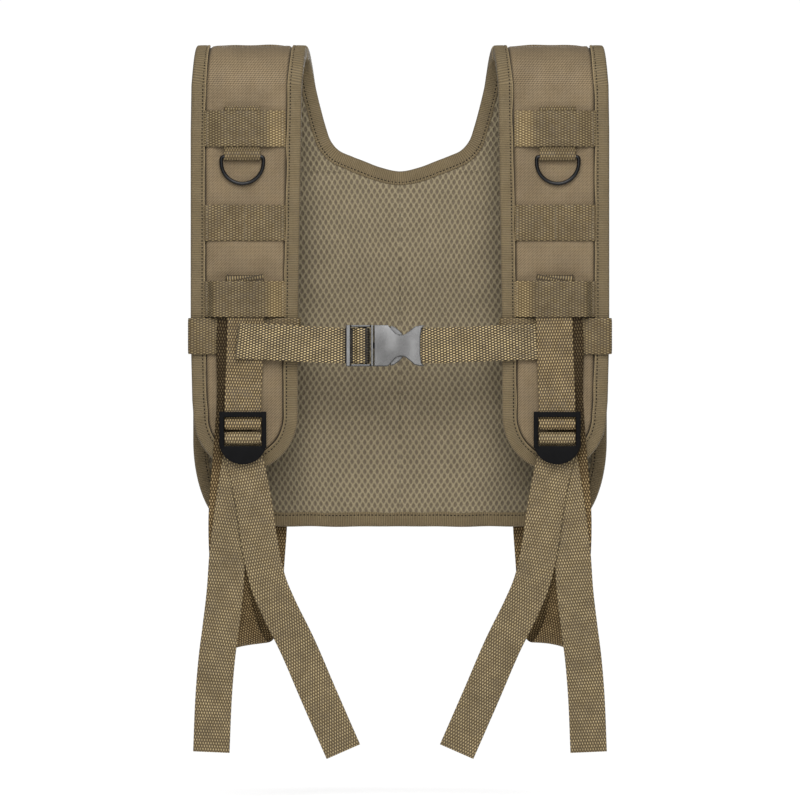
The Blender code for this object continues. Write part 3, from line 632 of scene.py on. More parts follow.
def flat_line(start, end, y):
    """A straight line of stitches on a face at y."""
    count = 12
    points = [Vector(start).lerp(Vector(end), k / (count - 1)) for k in range(count)]
    return seam([(p.x, y, p.y) for p in points], [(0, math.copysign(1, y), 0)] * count)


def boxed_cross(x, z, y, width, height):
    """A sewn rectangle with a cross in it."""
    left, right, low, high = x - width / 2, x + width / 2, z - height / 2, z + height / 2
    a, b, c, d = (left, low), (right, low), (right, high), (left, high)
    return [flat_line(start, end, y) for start, end in ((a, b), (b, c), (c, d), (d, a), (a, c), (b, d))]


def bar_tack(x, z, y, height, width=1.5 * MM, length=1.9 * MM):
    """A dense zigzag of thread across webbing, upright on its face at y, as seam() gives its lines."""
    count = round(height / TACK_PITCH)
    centres = [(x, y, z + rise) for rise in np.linspace(-height / 2, height / 2, count)]
    directions = [(width, 0, 0.45 * MM * (-1) ** k) for k in range(count)]
    normals = [(0, math.copysign(1, y), 0)] * count
    return centres, directions, normals, length


def sew(name, lines, material, body, width=0.5 * MM):
    """One piece of short rounded threads: the stitches of several lines, each as seam() gives it."""
    centres, directions, normals = (np.vstack([line[k] for line in lines]) for k in range(3))
    length = lines[0][3]
    directions, normals = unit(directions), unit(normals)
    sides = unit(np.cross(directions, normals))
    stations = np.linspace(-1, 1, 7)
    swell = np.sqrt(np.clip(1 - stations ** 4, 0, 1)) * 0.92 + 0.08
    turns = TURN * np.arange(STITCH_SIDES) / STITCH_SIDES
    reach = sides[:, None, None] * (np.cos(turns) * width / 2)[None, None, :, None]
    reach = reach + normals[:, None, None] * (np.sin(turns) * STITCH_HEIGHT)[None, None, :, None]
    reach = reach * swell[None, :, None, None]
    dip = normals[:, None] * (-STITCH_HEIGHT * 0.8 * stations ** 4)[None, :, None]
    spine = centres[:, None] + directions[:, None] * (stations * length / 2)[None, :, None] + dip
    points = (spine[:, :, None] + reach).reshape(-1, 3)
    quads, _ = grid_faces(len(stations), STITCH_SIDES, wrap_columns=True)
    size = len(stations) * STITCH_SIDES
    start_cap = np.arange(STITCH_SIDES)[::-1]
    end_cap = np.arange(size - STITCH_SIDES, size)
    faces = []
    for k in range(len(centres)):
        faces += (quads + k * size).tolist()
        faces += [(cap + k * size).tolist() for cap in (start_cap, end_cap)]
    count = sum(len(face) for face in faces)
    return place(add_piece(name, points, faces, np.zeros((count, 2)), material), body, "binding")


# ------------ the folded yoke

def on_yoke(x, s, height):
    """Points at distance s along the inner face from the crest, at a height above it.

    The front has s below 0.
    """
    radius = FOLD_RADIUS + height
    turn = np.clip(s / FOLD_RADIUS, -math.pi / 2, math.pi / 2)
    straight = np.maximum(0, np.abs(s) - QUARTER_TURN)
    return np.stack(np.broadcast_arrays(x, radius * np.sin(turn), radius * np.cos(turn) - straight), -1)


def edge_at(keys, t):
    return np.interp(t, [key[0] * MM for key in keys], [key[1] * MM for key in keys])


def down_to(z):
    """Distance from the crest to a height on the flat part of the yoke."""
    return QUARTER_TURN - z


def pad_outline():
    """The +X front pad's edge as (x, distance from the crest), from the outer crest round to the inner."""
    t = np.arange(0, PAD_ROUND_START, EDGE_STEP)
    outer, inner = (np.stack([edge_at(keys, t), t], -1) for keys in (PAD_OUTER, PAD_INNER))
    right, left = edge_at(PAD_OUTER, PAD_ROUND_START), edge_at(PAD_INNER, PAD_ROUND_START)
    turn = np.linspace(0, math.pi, 80)
    end = np.stack([(right + left) / 2 + (right - left) / 2 * np.cos(turn),
                    PAD_ROUND_START + PAD_ROUND_DEPTH * np.sin(turn)], -1)
    return np.vstack([outer, end, inner[::-1]])


def panel_outline():
    """The +X half of the back panel's outer edge, from the crest to the middle of the bottom."""
    t = np.arange(0, PANEL_CORNER_START, EDGE_STEP)
    side = np.stack([edge_at(PANEL_OUTER, t), t], -1)
    inner = edge_at(PANEL_OUTER, PANEL_CORNER_START) - PANEL_CORNER_WIDTH
    turn = np.linspace(0, math.pi / 2, 60)
    corner = np.stack([inner + PANEL_CORNER_WIDTH * np.cos(turn),
                       PANEL_CORNER_START + PANEL_CORNER_DEPTH * np.sin(turn)], -1)
    x = np.append(np.arange(inner, 0, -EDGE_STEP)[1:], 0)
    bottom = np.stack([x, np.full(len(x), corner[-1, 1])], -1)
    return np.vstack([side, corner, bottom])


def neck_outline(inset=0.0):
    """The +X half of the neck opening, from the crest to the middle."""
    keys = [(x * MM, t * MM) for t, x in NECK_EDGE]
    past_middle = (-keys[-2][0], keys[-2][1])
    curve, _ = even(smooth_curve(keys + [past_middle])[:-12], EDGE_STEP)
    along = unit(np.gradient(curve, axis=0))
    normal = np.stack([-along[:, 1], along[:, 0]], -1)
    normal *= np.sign(normal[:1, :1])
    moved = curve + normal * inset
    moved[-1, 0] = 0
    return moved


def with_mirror(half):
    """An outline from the +X crest to the middle, carried on to the -X crest."""
    return np.vstack([half, (half * (-1, 1))[::-1][1:]])


def edge_distance(x, t, outline):
    spots = np.stack([x.ravel(), t.ravel()], -1)
    batch = 4000
    nearest = []
    for start in range(0, len(spots), batch):
        part = spots[start:start + batch]
        nearest.append(np.sqrt(((part[:, None] - outline[None]) ** 2).sum(-1).min(1)))
    return np.concatenate(nearest).reshape(x.shape)


def level(height):
    """A face of the same height all over."""
    return lambda x, t: np.full(x.shape, height)


def pinched_top(d, t):
    """Height of the outer face by its distance from the edge, with less of a pinch over the shoulder."""
    pinch = FRONT_PINCH * (0.2 + 0.8 * step_between(t, 0.6 * QUARTER_TURN, 2 * QUARTER_TURN))
    return YOKE - pinch * (1 - step_between(d, 0, ROLL))


def pinched_bottom(d):
    return BACK_PINCH * (1 - step_between(d, 0, ROLL))


def tucked(d):
    """1 where the cloth tucks in under the tape's edge, and 0 a stitch's length away from it."""
    return np.exp(-((d - TAPE_LAP - GAP) / TUCK_REACH) ** 2)


def pucker(x, t, d, seed):
    """Small folds that run from a sewn edge into the padding."""
    close = step_between(d, 8 * MM, 11 * MM) * (1 - step_between(d, 11 * MM, 24 * MM))
    folds = 0.35 * MM * close * ripple(x, t, 13 * MM, seed)
    return folds + 0.24 * MM * ripple(x, t, 34 * MM, seed + 1) - TUCK * tucked(d)


def pad_swell(t, d):
    """How far a front pad's cloth stands out between the webbing rows that hold it down."""
    crests = 0
    for start, end, rise in PAD_SWELLS:
        middle, half = down_to((start + end) / 2), (start - end) / 2
        crests = crests + rise * np.clip(1 - ((t - middle) / half) ** 2, 0, 1) ** 0.8
    return crests * step_between(d, 9 * MM, 26 * MM)


def cell_places(x, t):
    """Places on the air mesh, whose columns lean a little to and fro."""
    lean = 2.2 * MM * np.sin((t - 60 * MM) / (48 * MM)) * step_between(np.abs(x), 10 * MM, 60 * MM)
    lean = lean + 1.3 * MM * np.sin((t + np.abs(x)) / (31 * MM) + 1.0)
    return np.abs(x) + lean, t + 1.0 * MM * np.sin(np.abs(x) / (26 * MM) + t / (70 * MM))


def hole_depth(along, across):
    """1 in the middle of the air mesh's holes and 0 on its lattice, which is a touch wider than painted."""
    near = 9.0
    for shift in (0.0, 0.5):
        reach = 0.0
        for spot, (pitch, radius) in zip((along, across), HOLE_SIZES):
            cells = spot / pitch + shift
            reach = reach + (np.abs(cells - np.round(cells)) * pitch / radius) ** HOLE_POWER
        near = np.minimum(near, reach ** (1 / HOLE_POWER))
    return 1 - step_between(near, HOLE_FLOOR, HOLE_RIM)


def slab(name, patches, sign, low, high, material, place_of=lambda x, t: (t, x), shade_marks=None):
    """A closed layer of the yoke over patches of (x, distance from the crest), joined where they meet.

    The last argument gives how dark painted shade makes the cloth where it tucks in.
    """
    spots = np.vstack([np.stack([x.ravel(), t.ravel()], -1) for x, t in patches])
    keys = np.round(spots / (0.001 * MM)).astype(np.int64)
    _, first, index = np.unique(keys, axis=0, return_index=True, return_inverse=True)
    index = index.ravel()
    spots = spots[first]
    quads, start = [], 0
    for x, _ in patches:
        faces, _ = grid_faces(*x.shape)
        faces = index[faces + start]
        corner = spots[faces]
        edge_a, edge_b = corner[:, 1] - corner[:, 0], corner[:, 2] - corner[:, 0]
        turned = (edge_a[:, 0] * edge_b[:, 1] - edge_a[:, 1] * edge_b[:, 0]).sum() < 0
        quads.append(faces[:, ::-1] if turned else faces)
        start += x.size
    x, t = spots.T
    points = np.vstack([on_yoke(x, sign * t, high(x, t)), on_yoke(x, sign * t, low(x, t))])
    faces = shell_faces(np.vstack(quads), len(spots))
    places = np.tile(np.stack(np.broadcast_arrays(*place_of(x, t)), -1), (2, 1))
    layer = add_piece(name, points, faces.tolist(), places[faces.ravel()], material)
    if shade_marks is not None:
        mark_painted_shade(layer, np.tile(shade_marks(x, t), 2))
    return layer


def pad_patch(side):
    """A grid over a front pad, inside its binding."""
    straight = np.linspace(GAP / 2, PAD_ROUND_START, round(PAD_ROUND_START / CLOTH_STEP) + 1)
    turn = np.radians(np.linspace(0, 88, round(PAD_ROUND_DEPTH * 1.5 / CLOTH_STEP)))[1:]
    t = np.concatenate([straight, PAD_ROUND_START + (PAD_ROUND_DEPTH - EDGE_INSET) * np.sin(turn)])
    outer = edge_at(PAD_OUTER, t) - EDGE_INSET
    inner = edge_at(PAD_INNER, t) + EDGE_INSET
    middle, half = (outer + inner) / 2, (outer - inner) / 2
    half[len(straight):] = half[len(straight) - 1] * np.cos(turn)
    middle[len(straight):] = middle[len(straight) - 1]
    share = np.linspace(-1, 1, round(75 * MM / CLOTH_STEP) + 1)
    x = side * (middle[:, None] + half[:, None] * share[None, :])
    return x, np.broadcast_to(t[:, None], x.shape)


def panel_patches(step, far_step, sides=(1, -1)):
    """Grids over the back panel: one from the neck opening and the middle out to each side."""
    neck = neck_outline(EDGE_INSET)
    neck_end = neck[-1, 1]
    bottom = PANEL_CORNER_START + PANEL_CORNER_DEPTH - EDGE_INSET
    upper = np.linspace(GAP / 2, neck_end, round(NECK_BOTTOM / step) + 1)
    lower = np.linspace(neck_end, PANEL_CORNER_START, round((PANEL_CORNER_START - NECK_BOTTOM) / step) + 1)
    turn = np.radians(np.linspace(0, 90, round(PANEL_CORNER_DEPTH * 1.3 / step)))[1:]
    corner = PANEL_CORNER_START + (bottom - PANEL_CORNER_START) * np.sin(turn)
    t = np.concatenate([upper, lower[1:], corner])
    inner = np.where(t < neck_end, np.interp(t, neck[:, 1], neck[:, 0]), 0)
    outer = edge_at(PANEL_OUTER, t) - EDGE_INSET
    side_x = edge_at(PANEL_OUTER, PANEL_CORNER_START)
    outer[-len(turn):] = side_x - PANEL_CORNER_WIDTH + (PANEL_CORNER_WIDTH - EDGE_INSET) * np.cos(turn)
    near = np.arange(0, SEEN_HALF_WIDTH, step)
    far = np.linspace(SEEN_HALF_WIDTH, side_x, round((side_x - SEEN_HALF_WIDTH) / far_step) + 1)
    share = np.concatenate([near, far]) / side_x
    x = inner[:, None] + (outer - inner)[:, None] * share[None, :]
    return [(side * x, np.broadcast_to(t[:, None], x.shape)) for side in sides]


def binding(name, edge, sign, outward, material):
    """Ribbed tape folded round an edge of the yoke and sewn through it, and its lines of stitches."""
    path, along = even(edge, RIB_PITCH / 4)
    tangent = unit(np.gradient(path, axis=0))
    for _ in range(12):
        tangent[1:-1] = (tangent[:-2] + 2 * tangent[1:-1] + tangent[2:]) / 4
    inward = unit(np.stack([-tangent[:, 1], tangent[:, 0]], -1)) * outward
    far = path[:, 1:]
    bend = np.radians(np.linspace(90, -90, 11))
    high, low = pinched_top(TAPE_TURN, far) + TAPE, pinched_bottom(TAPE_TURN) - TAPE
    middle, half = (high + low) / 2, (high - low) / 2
    inset = TAPE_TURN * (1 - np.cos(bend) ** FOLD_POWER)
    rise = np.sign(bend) * np.abs(np.sin(bend)) ** FOLD_POWER
    reach = np.concatenate([TAPE_REACH, inset, TAPE_REACH[::-1]])
    proud = TAPE_RISE * TAPE
    under = (pinched_bottom(TAPE_REACH) - proud)[::-1]
    height = np.hstack([pinched_top(TAPE_REACH, far) + proud, middle + half * rise,
                        np.tile(under, (len(path), 1))])
    rib = RIB_HEIGHT * np.sin(TURN * along / RIB_PITCH)
    height = height + rib[:, None] * np.clip((height - middle) / (2 * MM), -1, 1)
    ends = [pinched_bottom(inside) + 0 * far for inside in TAPE_INSIDE[:2]]
    ends += [middle] + [pinched_top(inside, far) for inside in TAPE_INSIDE[3:]]
    wander = 0.3 * MM * ripple(along, 0 * along, 30 * MM, len(name))
    all_reach = np.concatenate([reach, TAPE_INSIDE])[None, :] + np.zeros((len(path), 1))
    all_reach = all_reach + step_between(all_reach, 6 * MM, TAPE_LAP) * wander[:, None]
    spots = path[:, None, :] + inward[:, None, :] * all_reach[..., None]
    points = on_yoke(spots[..., 0], sign * spots[..., 1], np.hstack([height, *ends]))
    columns = points.shape[1]
    faces, places = grid_faces(len(path), columns, wrap_columns=True)
    steps = np.hypot(np.diff(reach), np.diff(height[len(path) // 2]))
    back_inside = np.linspace(steps.sum(), 0, columns - len(reach) + 1)
    across = np.concatenate([[0], np.cumsum(steps), back_inside])
    corner_places = np.stack([along[places[..., 0]], across[places[..., 1]]], -1).reshape(-1, 2)
    last = (len(path) - 1) * columns
    faces = faces.tolist() + [list(range(columns))[::-1], list(range(last, last + columns))]
    corner_places = np.vstack([corner_places, np.zeros((2 * columns, 2))])
    tape = add_piece(name, points.reshape(-1, 3), faces, corner_places, material)
    sewn = path[::8] + inward[::8] * STITCH_INSET
    sunk = 0.72 * TAPE
    lines = []
    for height, outside in ((pinched_top(STITCH_INSET, sewn[:, 1]) + sunk, 1),
                            (pinched_bottom(STITCH_INSET) - sunk, -1)):
        line, above = (on_yoke(sewn[:, 0], sign * sewn[:, 1], height + rise) for rise in (0, outside * MM))
        lines.append(seam(line, above - line))
    return tape, lines


def add_pads(materials):
    """The two front pads: crowned cloth over foam outside, air mesh inside, tape round the edge."""
    outline = pad_outline()
    for seed, (name, side) in zip((10, 15), SIDES.items()):

        def distance(x, t):
            return edge_distance(np.abs(x), t, outline)

        def top(x, t):
            d = distance(x, t)
            return pinched_top(d, t) + pad_swell(t, d) + pucker(x, t, d, seed)

        def mesh_face(x, t):
            d = distance(x, t)
            held = step_between(d, 9 * MM, 14 * MM)
            return pinched_bottom(d) + HOLE_DEPTH * held * hole_depth(*cell_places(x, t)) - 0.3 * MM * held

        # the cover has painted shade along the tape's inner edge
        pad = slab(f"front_{name}_pad", [pad_patch(side)], -1, level(LINING + GAP), top, materials["fabric"],
                   shade_marks=lambda x, t: tucked(distance(x, t)))
        place(pad, "yoke", "fabric", f"front_{name}_cover", f"front_{name}_foam")
        lining = slab(f"front_{name}_air_mesh", [pad_patch(side)], -1, mesh_face, level(LINING),
                      materials["mesh"], cell_places)
        place(lining, "yoke", "air_mesh", f"front_{name}_lining")
        tape, lines = binding(f"front_{name}_tape", outline * (side, 1), -1, side, materials["binding"])
        place(tape, "yoke", "binding", f"front_{name}_binding")
        sew(f"front_{name}_tape_stitches", lines, materials["tape_thread_painted_shade"], "yoke", 1.0 * MM)


def add_panel(materials):
    """The back panel: crowned cloth over foam outside, air mesh towards the wearer, tape round the edges."""
    side_edge, neck = with_mirror(panel_outline()), with_mirror(neck_outline())
    x, t = side_edge.T
    along_bottom = step_between(t, PANEL_CORNER_START + 0.9 * PANEL_CORNER_DEPTH, t.max())
    side_edge[:, 1] -= 0.5 * MM * along_bottom * (1 + ripple(np.abs(x), 0.0, 38 * MM, 71))
    outline = np.vstack([side_edge, neck])

    def distance(x, t):
        return edge_distance(x, t, outline)

    def top(x, t):
        d = distance(x, t)
        held = np.clip(np.abs(t - down_to(-160 * MM)) / (75 * MM) - 1, 0, 1)
        return pinched_top(d, t) + 0.9 * MM * held * step_between(d, 9 * MM, 30 * MM) + pucker(x, t, d, 31)

    def mesh_face(x, t):
        d = distance(x, t)
        held = step_between(d, 9 * MM, 15 * MM)
        crown = 1.6 * MM * step_between(d, 9 * MM, 60 * MM) + 0.25 * MM * ripple(np.abs(x), t, 45 * MM, 41)
        return pinched_bottom(d) + held * (HOLE_DEPTH * hole_depth(*cell_places(x, t)) - crown)

    # the cover has painted shade along the tape's inner edge
    panel = slab("back_pad", panel_patches(2.0 * MM, 2.0 * MM), 1, level(LINING + GAP), top,
                 materials["fabric"], shade_marks=lambda x, t: tucked(distance(x, t)))
    place(panel, "yoke", "fabric", "back_cover", "back_foam")
    for name, side in SIDES.items():
        patches = panel_patches(1.0 * MM, 1.8 * MM, (side,))
        lining = slab(f"back_air_mesh_{name}", patches, 1, mesh_face, level(LINING), materials["mesh"],
                      cell_places)
        place(lining, "yoke", "air_mesh", "back_lining")
    for part, edge, outward in (("panel", side_edge, 1), ("neck", neck, -1)):
        tape, lines = binding(f"{part}_tape", edge, 1, outward, materials["binding"])
        place(tape, "yoke", "binding", f"{part}_binding")
        sew(f"{part}_tape_stitches", lines, materials["tape_thread_painted_shade"], "yoke", 1.0 * MM)


# ------------ webbing on the yoke

ROWS = [-30.0 * MM, -95.4 * MM, -148.4 * MM]
BACK_ROWS = [-110 * MM, -160 * MM, -210 * MM]
ROW_HEIGHT = 25.0 * MM
ROW_TACK = 21 * MM
RING_X = 109.5 * MM
RING_PIN = (RING_X, -31.1 * MM, -49.5 * MM)
RING_WIRE = 1.3 * MM
RING_HALF_WIDTH = 14.65 * MM
RING_CORNER = 1.6 * MM
RING_SHOULDER = -3.8 * MM
RING_DROP = 18.7 * MM
BAND_TOP = -161.6 * MM
BAND_HEIGHT = 25.0 * MM
BAND_INNER = 69.4 * MM
BAND_OUTER = 146.7 * MM
BAND_CORNER = 1.8 * MM
BAND_FRONT = FACE + 2 * GAP + TAPE
STRAP_LAYER = BAND_FRONT + WEB + GAP + WEB / 2
HANGER_LAYER = STRAP_LAYER + LAYER
TAIL_LAYER = HANGER_LAYER + LAYER
HANG_LOOP_Z = -80 * MM
PATCH_FACE = 32.0 * MM


def add_rows(materials):
    """Rows across each front pad. The top one bridges the ring tab and the lowest one the strap's fold."""
    flat = -FIRST_LAYER
    lifted = flat - 0.2 * MM
    over_tab = -(FIRST_LAYER + 2 * LAYER)
    over_fold = -(HANGER_LAYER + LAYER)
    over_ends = over_fold - 0.2 * MM
    stops = [
        [(79.7, flat), (82, lifted), (95, over_tab), (99, over_tab), (120, over_tab), (124.3, over_tab),
         (133, lifted), (135.8, flat)],
        [(79.7, flat), (95, flat), (115, flat), (135.8, flat)],
        [(79.7, flat), (81.5, lifted), (93, over_fold), (96, over_ends), (124, over_ends), (129, over_fold),
         (133.2, flat), (135.8, flat)],
    ]
    # the top and lowest rows have a painted highlight at their inner ends
    cloths = ["row_painted_highlight", "row", "row_painted_highlight"]
    tacks = [(81.5, 134.0), (81.5, 108, 134.0), (81.5, 134.0)]
    for name, side in SIDES.items():
        for number, (z, row, cloth, ends) in enumerate(zip(ROWS, stops, cloths, tacks), start=1):
            route = [(side * x * MM, y, z) for x, y in row]
            piece = webbing(f"row_{number}_{name}_webbing", route, materials[cloth], ROW_HEIGHT, UPRIGHT,
                            bow=0, seed=number)
            place(piece, "yoke", "webbing", f"row_{number}_{name}")
            face = flat - WEB / 2 - STITCH_PROUD
            lines = [bar_tack(side * x * MM, z, face, ROW_TACK) for x in ends]
            sew(f"row_{number}_{name}_stitches", lines, materials["thread"], "yoke")


def add_ring_tabs(materials):
    """A folded webbing tab behind each top row. Its fold goes round the D-ring's bar."""
    fold_radius = RING_WIRE + GAP + WEB / 2
    x, pin_y, _ = RING_PIN
    front = -(FIRST_LAYER + LAYER)
    route = [(x, front, -14.4 * MM), (x, front, -30 * MM), (x, front, -42.7 * MM),
             (x, front - 0.4 * MM, -43.9 * MM), (x, pin_y - 0.85 * fold_radius, -46.8 * MM)]
    route += arc(RING_PIN, fold_radius, 0, -180, 8)
    route += [(x, -FIRST_LAYER, -40 * MM), (x, -FIRST_LAYER, -16 * MM)]
    for name, side in SIDES.items():
        tab = webbing(f"ring_tab_{name}_webbing", mirrored(route, side), materials["row"], 25 * MM, bow=0)
        place(tab, "yoke", "webbing", f"ring_tab_{name}")


def add_keeper_bands(materials):
    """A webbing band round each pad. It carries the sternum strap."""
    middle = BAND_TOP - BAND_HEIGHT / 2
    front, back = -BAND_FRONT - WEB / 2, -(FOLD_RADIUS - TAPE - 2 * GAP) + WEB / 2
    left, right = BAND_INNER + BAND_CORNER, BAND_OUTER - BAND_CORNER
    near, far = front + BAND_CORNER, back - BAND_CORNER
    loop = []
    for x, y, start in ((right, far, 0), (left, far, 90), (left, near, 180), (right, near, 270)):
        for turn in np.radians(np.linspace(start, start + 90, 8)):
            loop.append((x + BAND_CORNER * math.cos(turn), y + BAND_CORNER * math.sin(turn), middle))
    loop.append(loop[0])
    for name, side in SIDES.items():
        band = webbing(f"keeper_{name}_webbing", mirrored(loop, side), materials["row"], BAND_HEIGHT, UPRIGHT,
                       bow=0, wrap=True)
        place(band, "sternum", "webbing", f"keeper_band_{name}")
        face = back + WEB / 2 + STITCH_PROUD
        lines = boxed_cross(side * 108 * MM, middle, face, 24 * MM, 19 * MM)
        sew(f"keeper_band_{name}_stitches", lines, materials["thread"], "sternum")


def add_back_details(materials):
    """Rows across the back panel, the hang loop and the anchor patches."""
    for number, z in enumerate(BACK_ROWS, start=1):
        route = [(x * MM, FIRST_LAYER, z) for x in (-121, -60, 0, 60, 121)]
        row = webbing(f"back_row_{number}_webbing", route, materials["row"], ROW_HEIGHT, UPRIGHT, bow=0,
                      seed=20 + number)
        place(row, "yoke", "webbing", f"back_row_{number}")
        face = FIRST_LAYER + WEB / 2 + STITCH_PROUD
        lines = [bar_tack(x * MM, z, face, ROW_TACK) for x in range(-114, 115, 38)]
        sew(f"back_row_{number}_stitches", lines, materials["thread"], "yoke")
    flat = FIRST_LAYER / MM
    arch = [(-30, flat), (-22, flat + 0.4), (-14, 32.6), (0, 35.6), (14, 32.6), (22, flat + 0.4), (30, flat)]
    route = [(x * MM, y * MM, HANG_LOOP_Z) for x, y in arch]
    loop = webbing("hang_loop_webbing", route, materials["row"], 15 * MM, UPRIGHT, bow=0)
    place(loop, "yoke", "webbing", "hang_loop")
    lines = [bar_tack(x * MM, HANG_LOOP_Z, (flat + 0.8) * MM, 12 * MM) for x in (-27, -24, 24, 27)]
    sew("hang_loop_stitches", lines, materials["thread"], "yoke")
    for name, side in SIDES.items():
        add_anchor_patch(f"anchor_patch_{name}", side, materials)


def add_anchor_patch(node, side, materials):
    """A square of cloth with turned, rounded edges, over the webbing's end."""
    low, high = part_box(node)
    share = np.linspace(-1, 1, 31)
    across, up = np.meshgrid(share, share, indexing="ij")
    rim = np.sqrt(np.clip(1 - np.maximum(np.abs(across), np.abs(up)) ** 10, 0, 1))
    x = (low.x + high.x) / 2 + (high.x - low.x) / 2 * across
    z = (low.z + high.z) / 2 + (high.z - low.z) / 2 * up
    middle, half = (low.y + high.y) / 2, (high.y - low.y) / 2
    thick = half * (0.3 + 0.7 * rim)
    wave_out = 0.12 * MM * ripple(x, z, 14 * MM, 51) * rim
    outside = np.stack([x, middle + thick + wave_out, z], -1).reshape(-1, 3)
    inside = np.stack([x, middle - thick, z], -1).reshape(-1, 3)
    quads, _ = grid_faces(*x.shape)
    faces = shell_faces(quads, x.size)
    places = np.tile(np.stack([z.ravel(), x.ravel()], -1), (2, 1))
    patch = add_piece(f"{node}_cloth", np.vstack([outside, inside]), faces.tolist(), places[faces.ravel()],
                      materials["fabric"])
    place(patch, "yoke", "fabric", node)
    lines = boxed_cross(side * 91 * MM, -279 * MM, PATCH_FACE + 0.15 * MM, 27 * MM, 27 * MM)
    sew(f"{node}_stitches", lines, materials["thread"], "yoke")


# ------------ straps

LOCK_X = 109.05 * MM
LOCK_MIDDLE = -36.5 * MM
HANGER_BAR_Z = -235.2 * MM
BELT_BAR_Z = -244.9 * MM
WRAP_RADIUS = 3.5 * MM


def add_support_straps(materials):
    """From the back panel's lower edge, under the arm and up behind the lowest row, with a loose bow."""
    strap = -STRAP_LAYER / MM
    route = in_mm([
        (91, 30.1, -266), (91, 30.1, -285), (91.6, 30.1, -306), (93.4, 29, -332), (95.2, 23, -360),
        (99, 10, -382), (105, -4, -388), (111, -17, -379), (116, -25.5, -358), (119.4, -29.4, -332),
        (120.4, -30.0, -304), (119.2, -30.0, -280), (117, -30.0, -255), (115.2, -30.0, -232),
        (114.5, -30.0, -219), (114.4, strap, -206), (114.3, strap, -168), (110, strap, -150)])
    for number, (name, side) in enumerate(SIDES.items()):
        turns = [0, 0, side * 5, side * 11, side * 7, side * 3, 0, 0, 0]
        piece = webbing(f"support_{name}_webbing", mirrored(route, side), materials["strap_shade"],
                        twist=turns, bow=0.5 * MM, seed=60 + number)
        place(piece, "yoke", "webbing", f"support_strap_{name}")
        route_length(route)


def add_hangers(materials):
    """Each support strap's end: over a fold behind the lowest row, down the pad and round the lock's bar."""
    strap, hanger = -STRAP_LAYER / MM, -HANGER_LAYER / MM
    fold_centre = (107.7 * MM, -(STRAP_LAYER + HANGER_LAYER) / 2, -133 * MM)
    route = in_mm([(109.5, strap, -151), (109, strap, -144), (108.5, strap, -137)])
    route += arc(fold_centre, LAYER / 2 + 0.1 * MM, 180, 0, 6)
    route += in_mm([
        (107, hanger, -136.5), (107.1, hanger, -160), (107.9, hanger, -190), (108.6, hanger, -207),
        (109, -34.4, -217), (109.05, -34.9, -220.2), (109.05, -35.8, -225.5), (109.05, -36.8, -229.8)])
    route += arc((LOCK_X, LOCK_MIDDLE, HANGER_BAR_Z), WRAP_RADIUS, 35, -180, 12)
    route += in_mm([(109.05, -33.2, -231.5), (109.05, -34.0, -226.5)])
    for number, (name, side) in enumerate(SIDES.items()):
        piece = webbing(f"hanger_{name}", mirrored(route, side), materials["hanger"], bow=0.2 * MM,
                        seed=70 + number)
        # painted shade on the top of the fold, where it shows above the lowest row
        paint_shade(piece, 2, [(-136.2 * MM, -130 * MM)], 0.8 * MM, 0.45)
        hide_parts(f"hanger_loop_{name}")
        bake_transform(piece)
        route_length(route)


def add_belt_straps(materials):
    """A loose webbing over each lock's lower bar, with both of its ends hanging free."""
    route = in_mm([
        (131.0, -32.6, -463), (129.4, -32.6, -425), (127.2, -32.6, -398), (124.4, -32.6, -376),
        (121.6, -32.5, -352), (119.4, -32.4, -322), (115.5, -32.2, -291), (112.0, -32.0, -268),
        (109.4, -32.0, -253)])
    route += arc((LOCK_X, LOCK_MIDDLE, BELT_BAR_Z), WRAP_RADIUS, 180, -100, 14)
    route += in_mm([
        (109.05, -34.6, -250.2), (109.05, -33.9, -254.5), (106.0, -33.9, -267), (101.2, -34.4, -292),
        (97.2, -35, -320), (91.5, -35.4, -345), (84.5, -35.6, -362), (71, -35.6, -389.5),
        (56.6, -35.6, -423), (39.3, -35.6, -462.6)])
    for number, (name, side) in enumerate(SIDES.items()):
        turns = [side * angle for angle in (-4, -1, 2, 0, 0, 0, 0, 0, 3, 6, 4, -2, -5)]
        piece = webbing(f"belt_{name}_webbing", mirrored(route, side), materials["strap"], twist=turns,
                        bow=0.4 * MM, seed=80 + number)
        place(piece, f"lock_{name}", "webbing", f"belt_strap_{name}")
        route_length(route)


# ------------ sternum strap

BUCKLE_Z = -180.8 * MM
BUCKLE_Y = -33.7 * MM
FEMALE_BAR_X = 12.6 * MM
FEMALE_BAR_RADIUS = 1.3 * MM
MALE_BAR_X = -26.0 * MM
MALE_BAR_HALF_WIDTH = 3.0 * MM
MALE_BAR_HALF_THICK = 0.9 * MM
STERNUM_WIDTH = 24.6 * MM


def bar_turn(x, radius, start, end):
    """Half a turn round one of the buckle's upright bars."""
    turns = np.radians(np.linspace(start, end, 9))
    return [(x + radius * math.cos(turn), BUCKLE_Y - radius * math.sin(turn), BUCKLE_Z) for turn in turns]


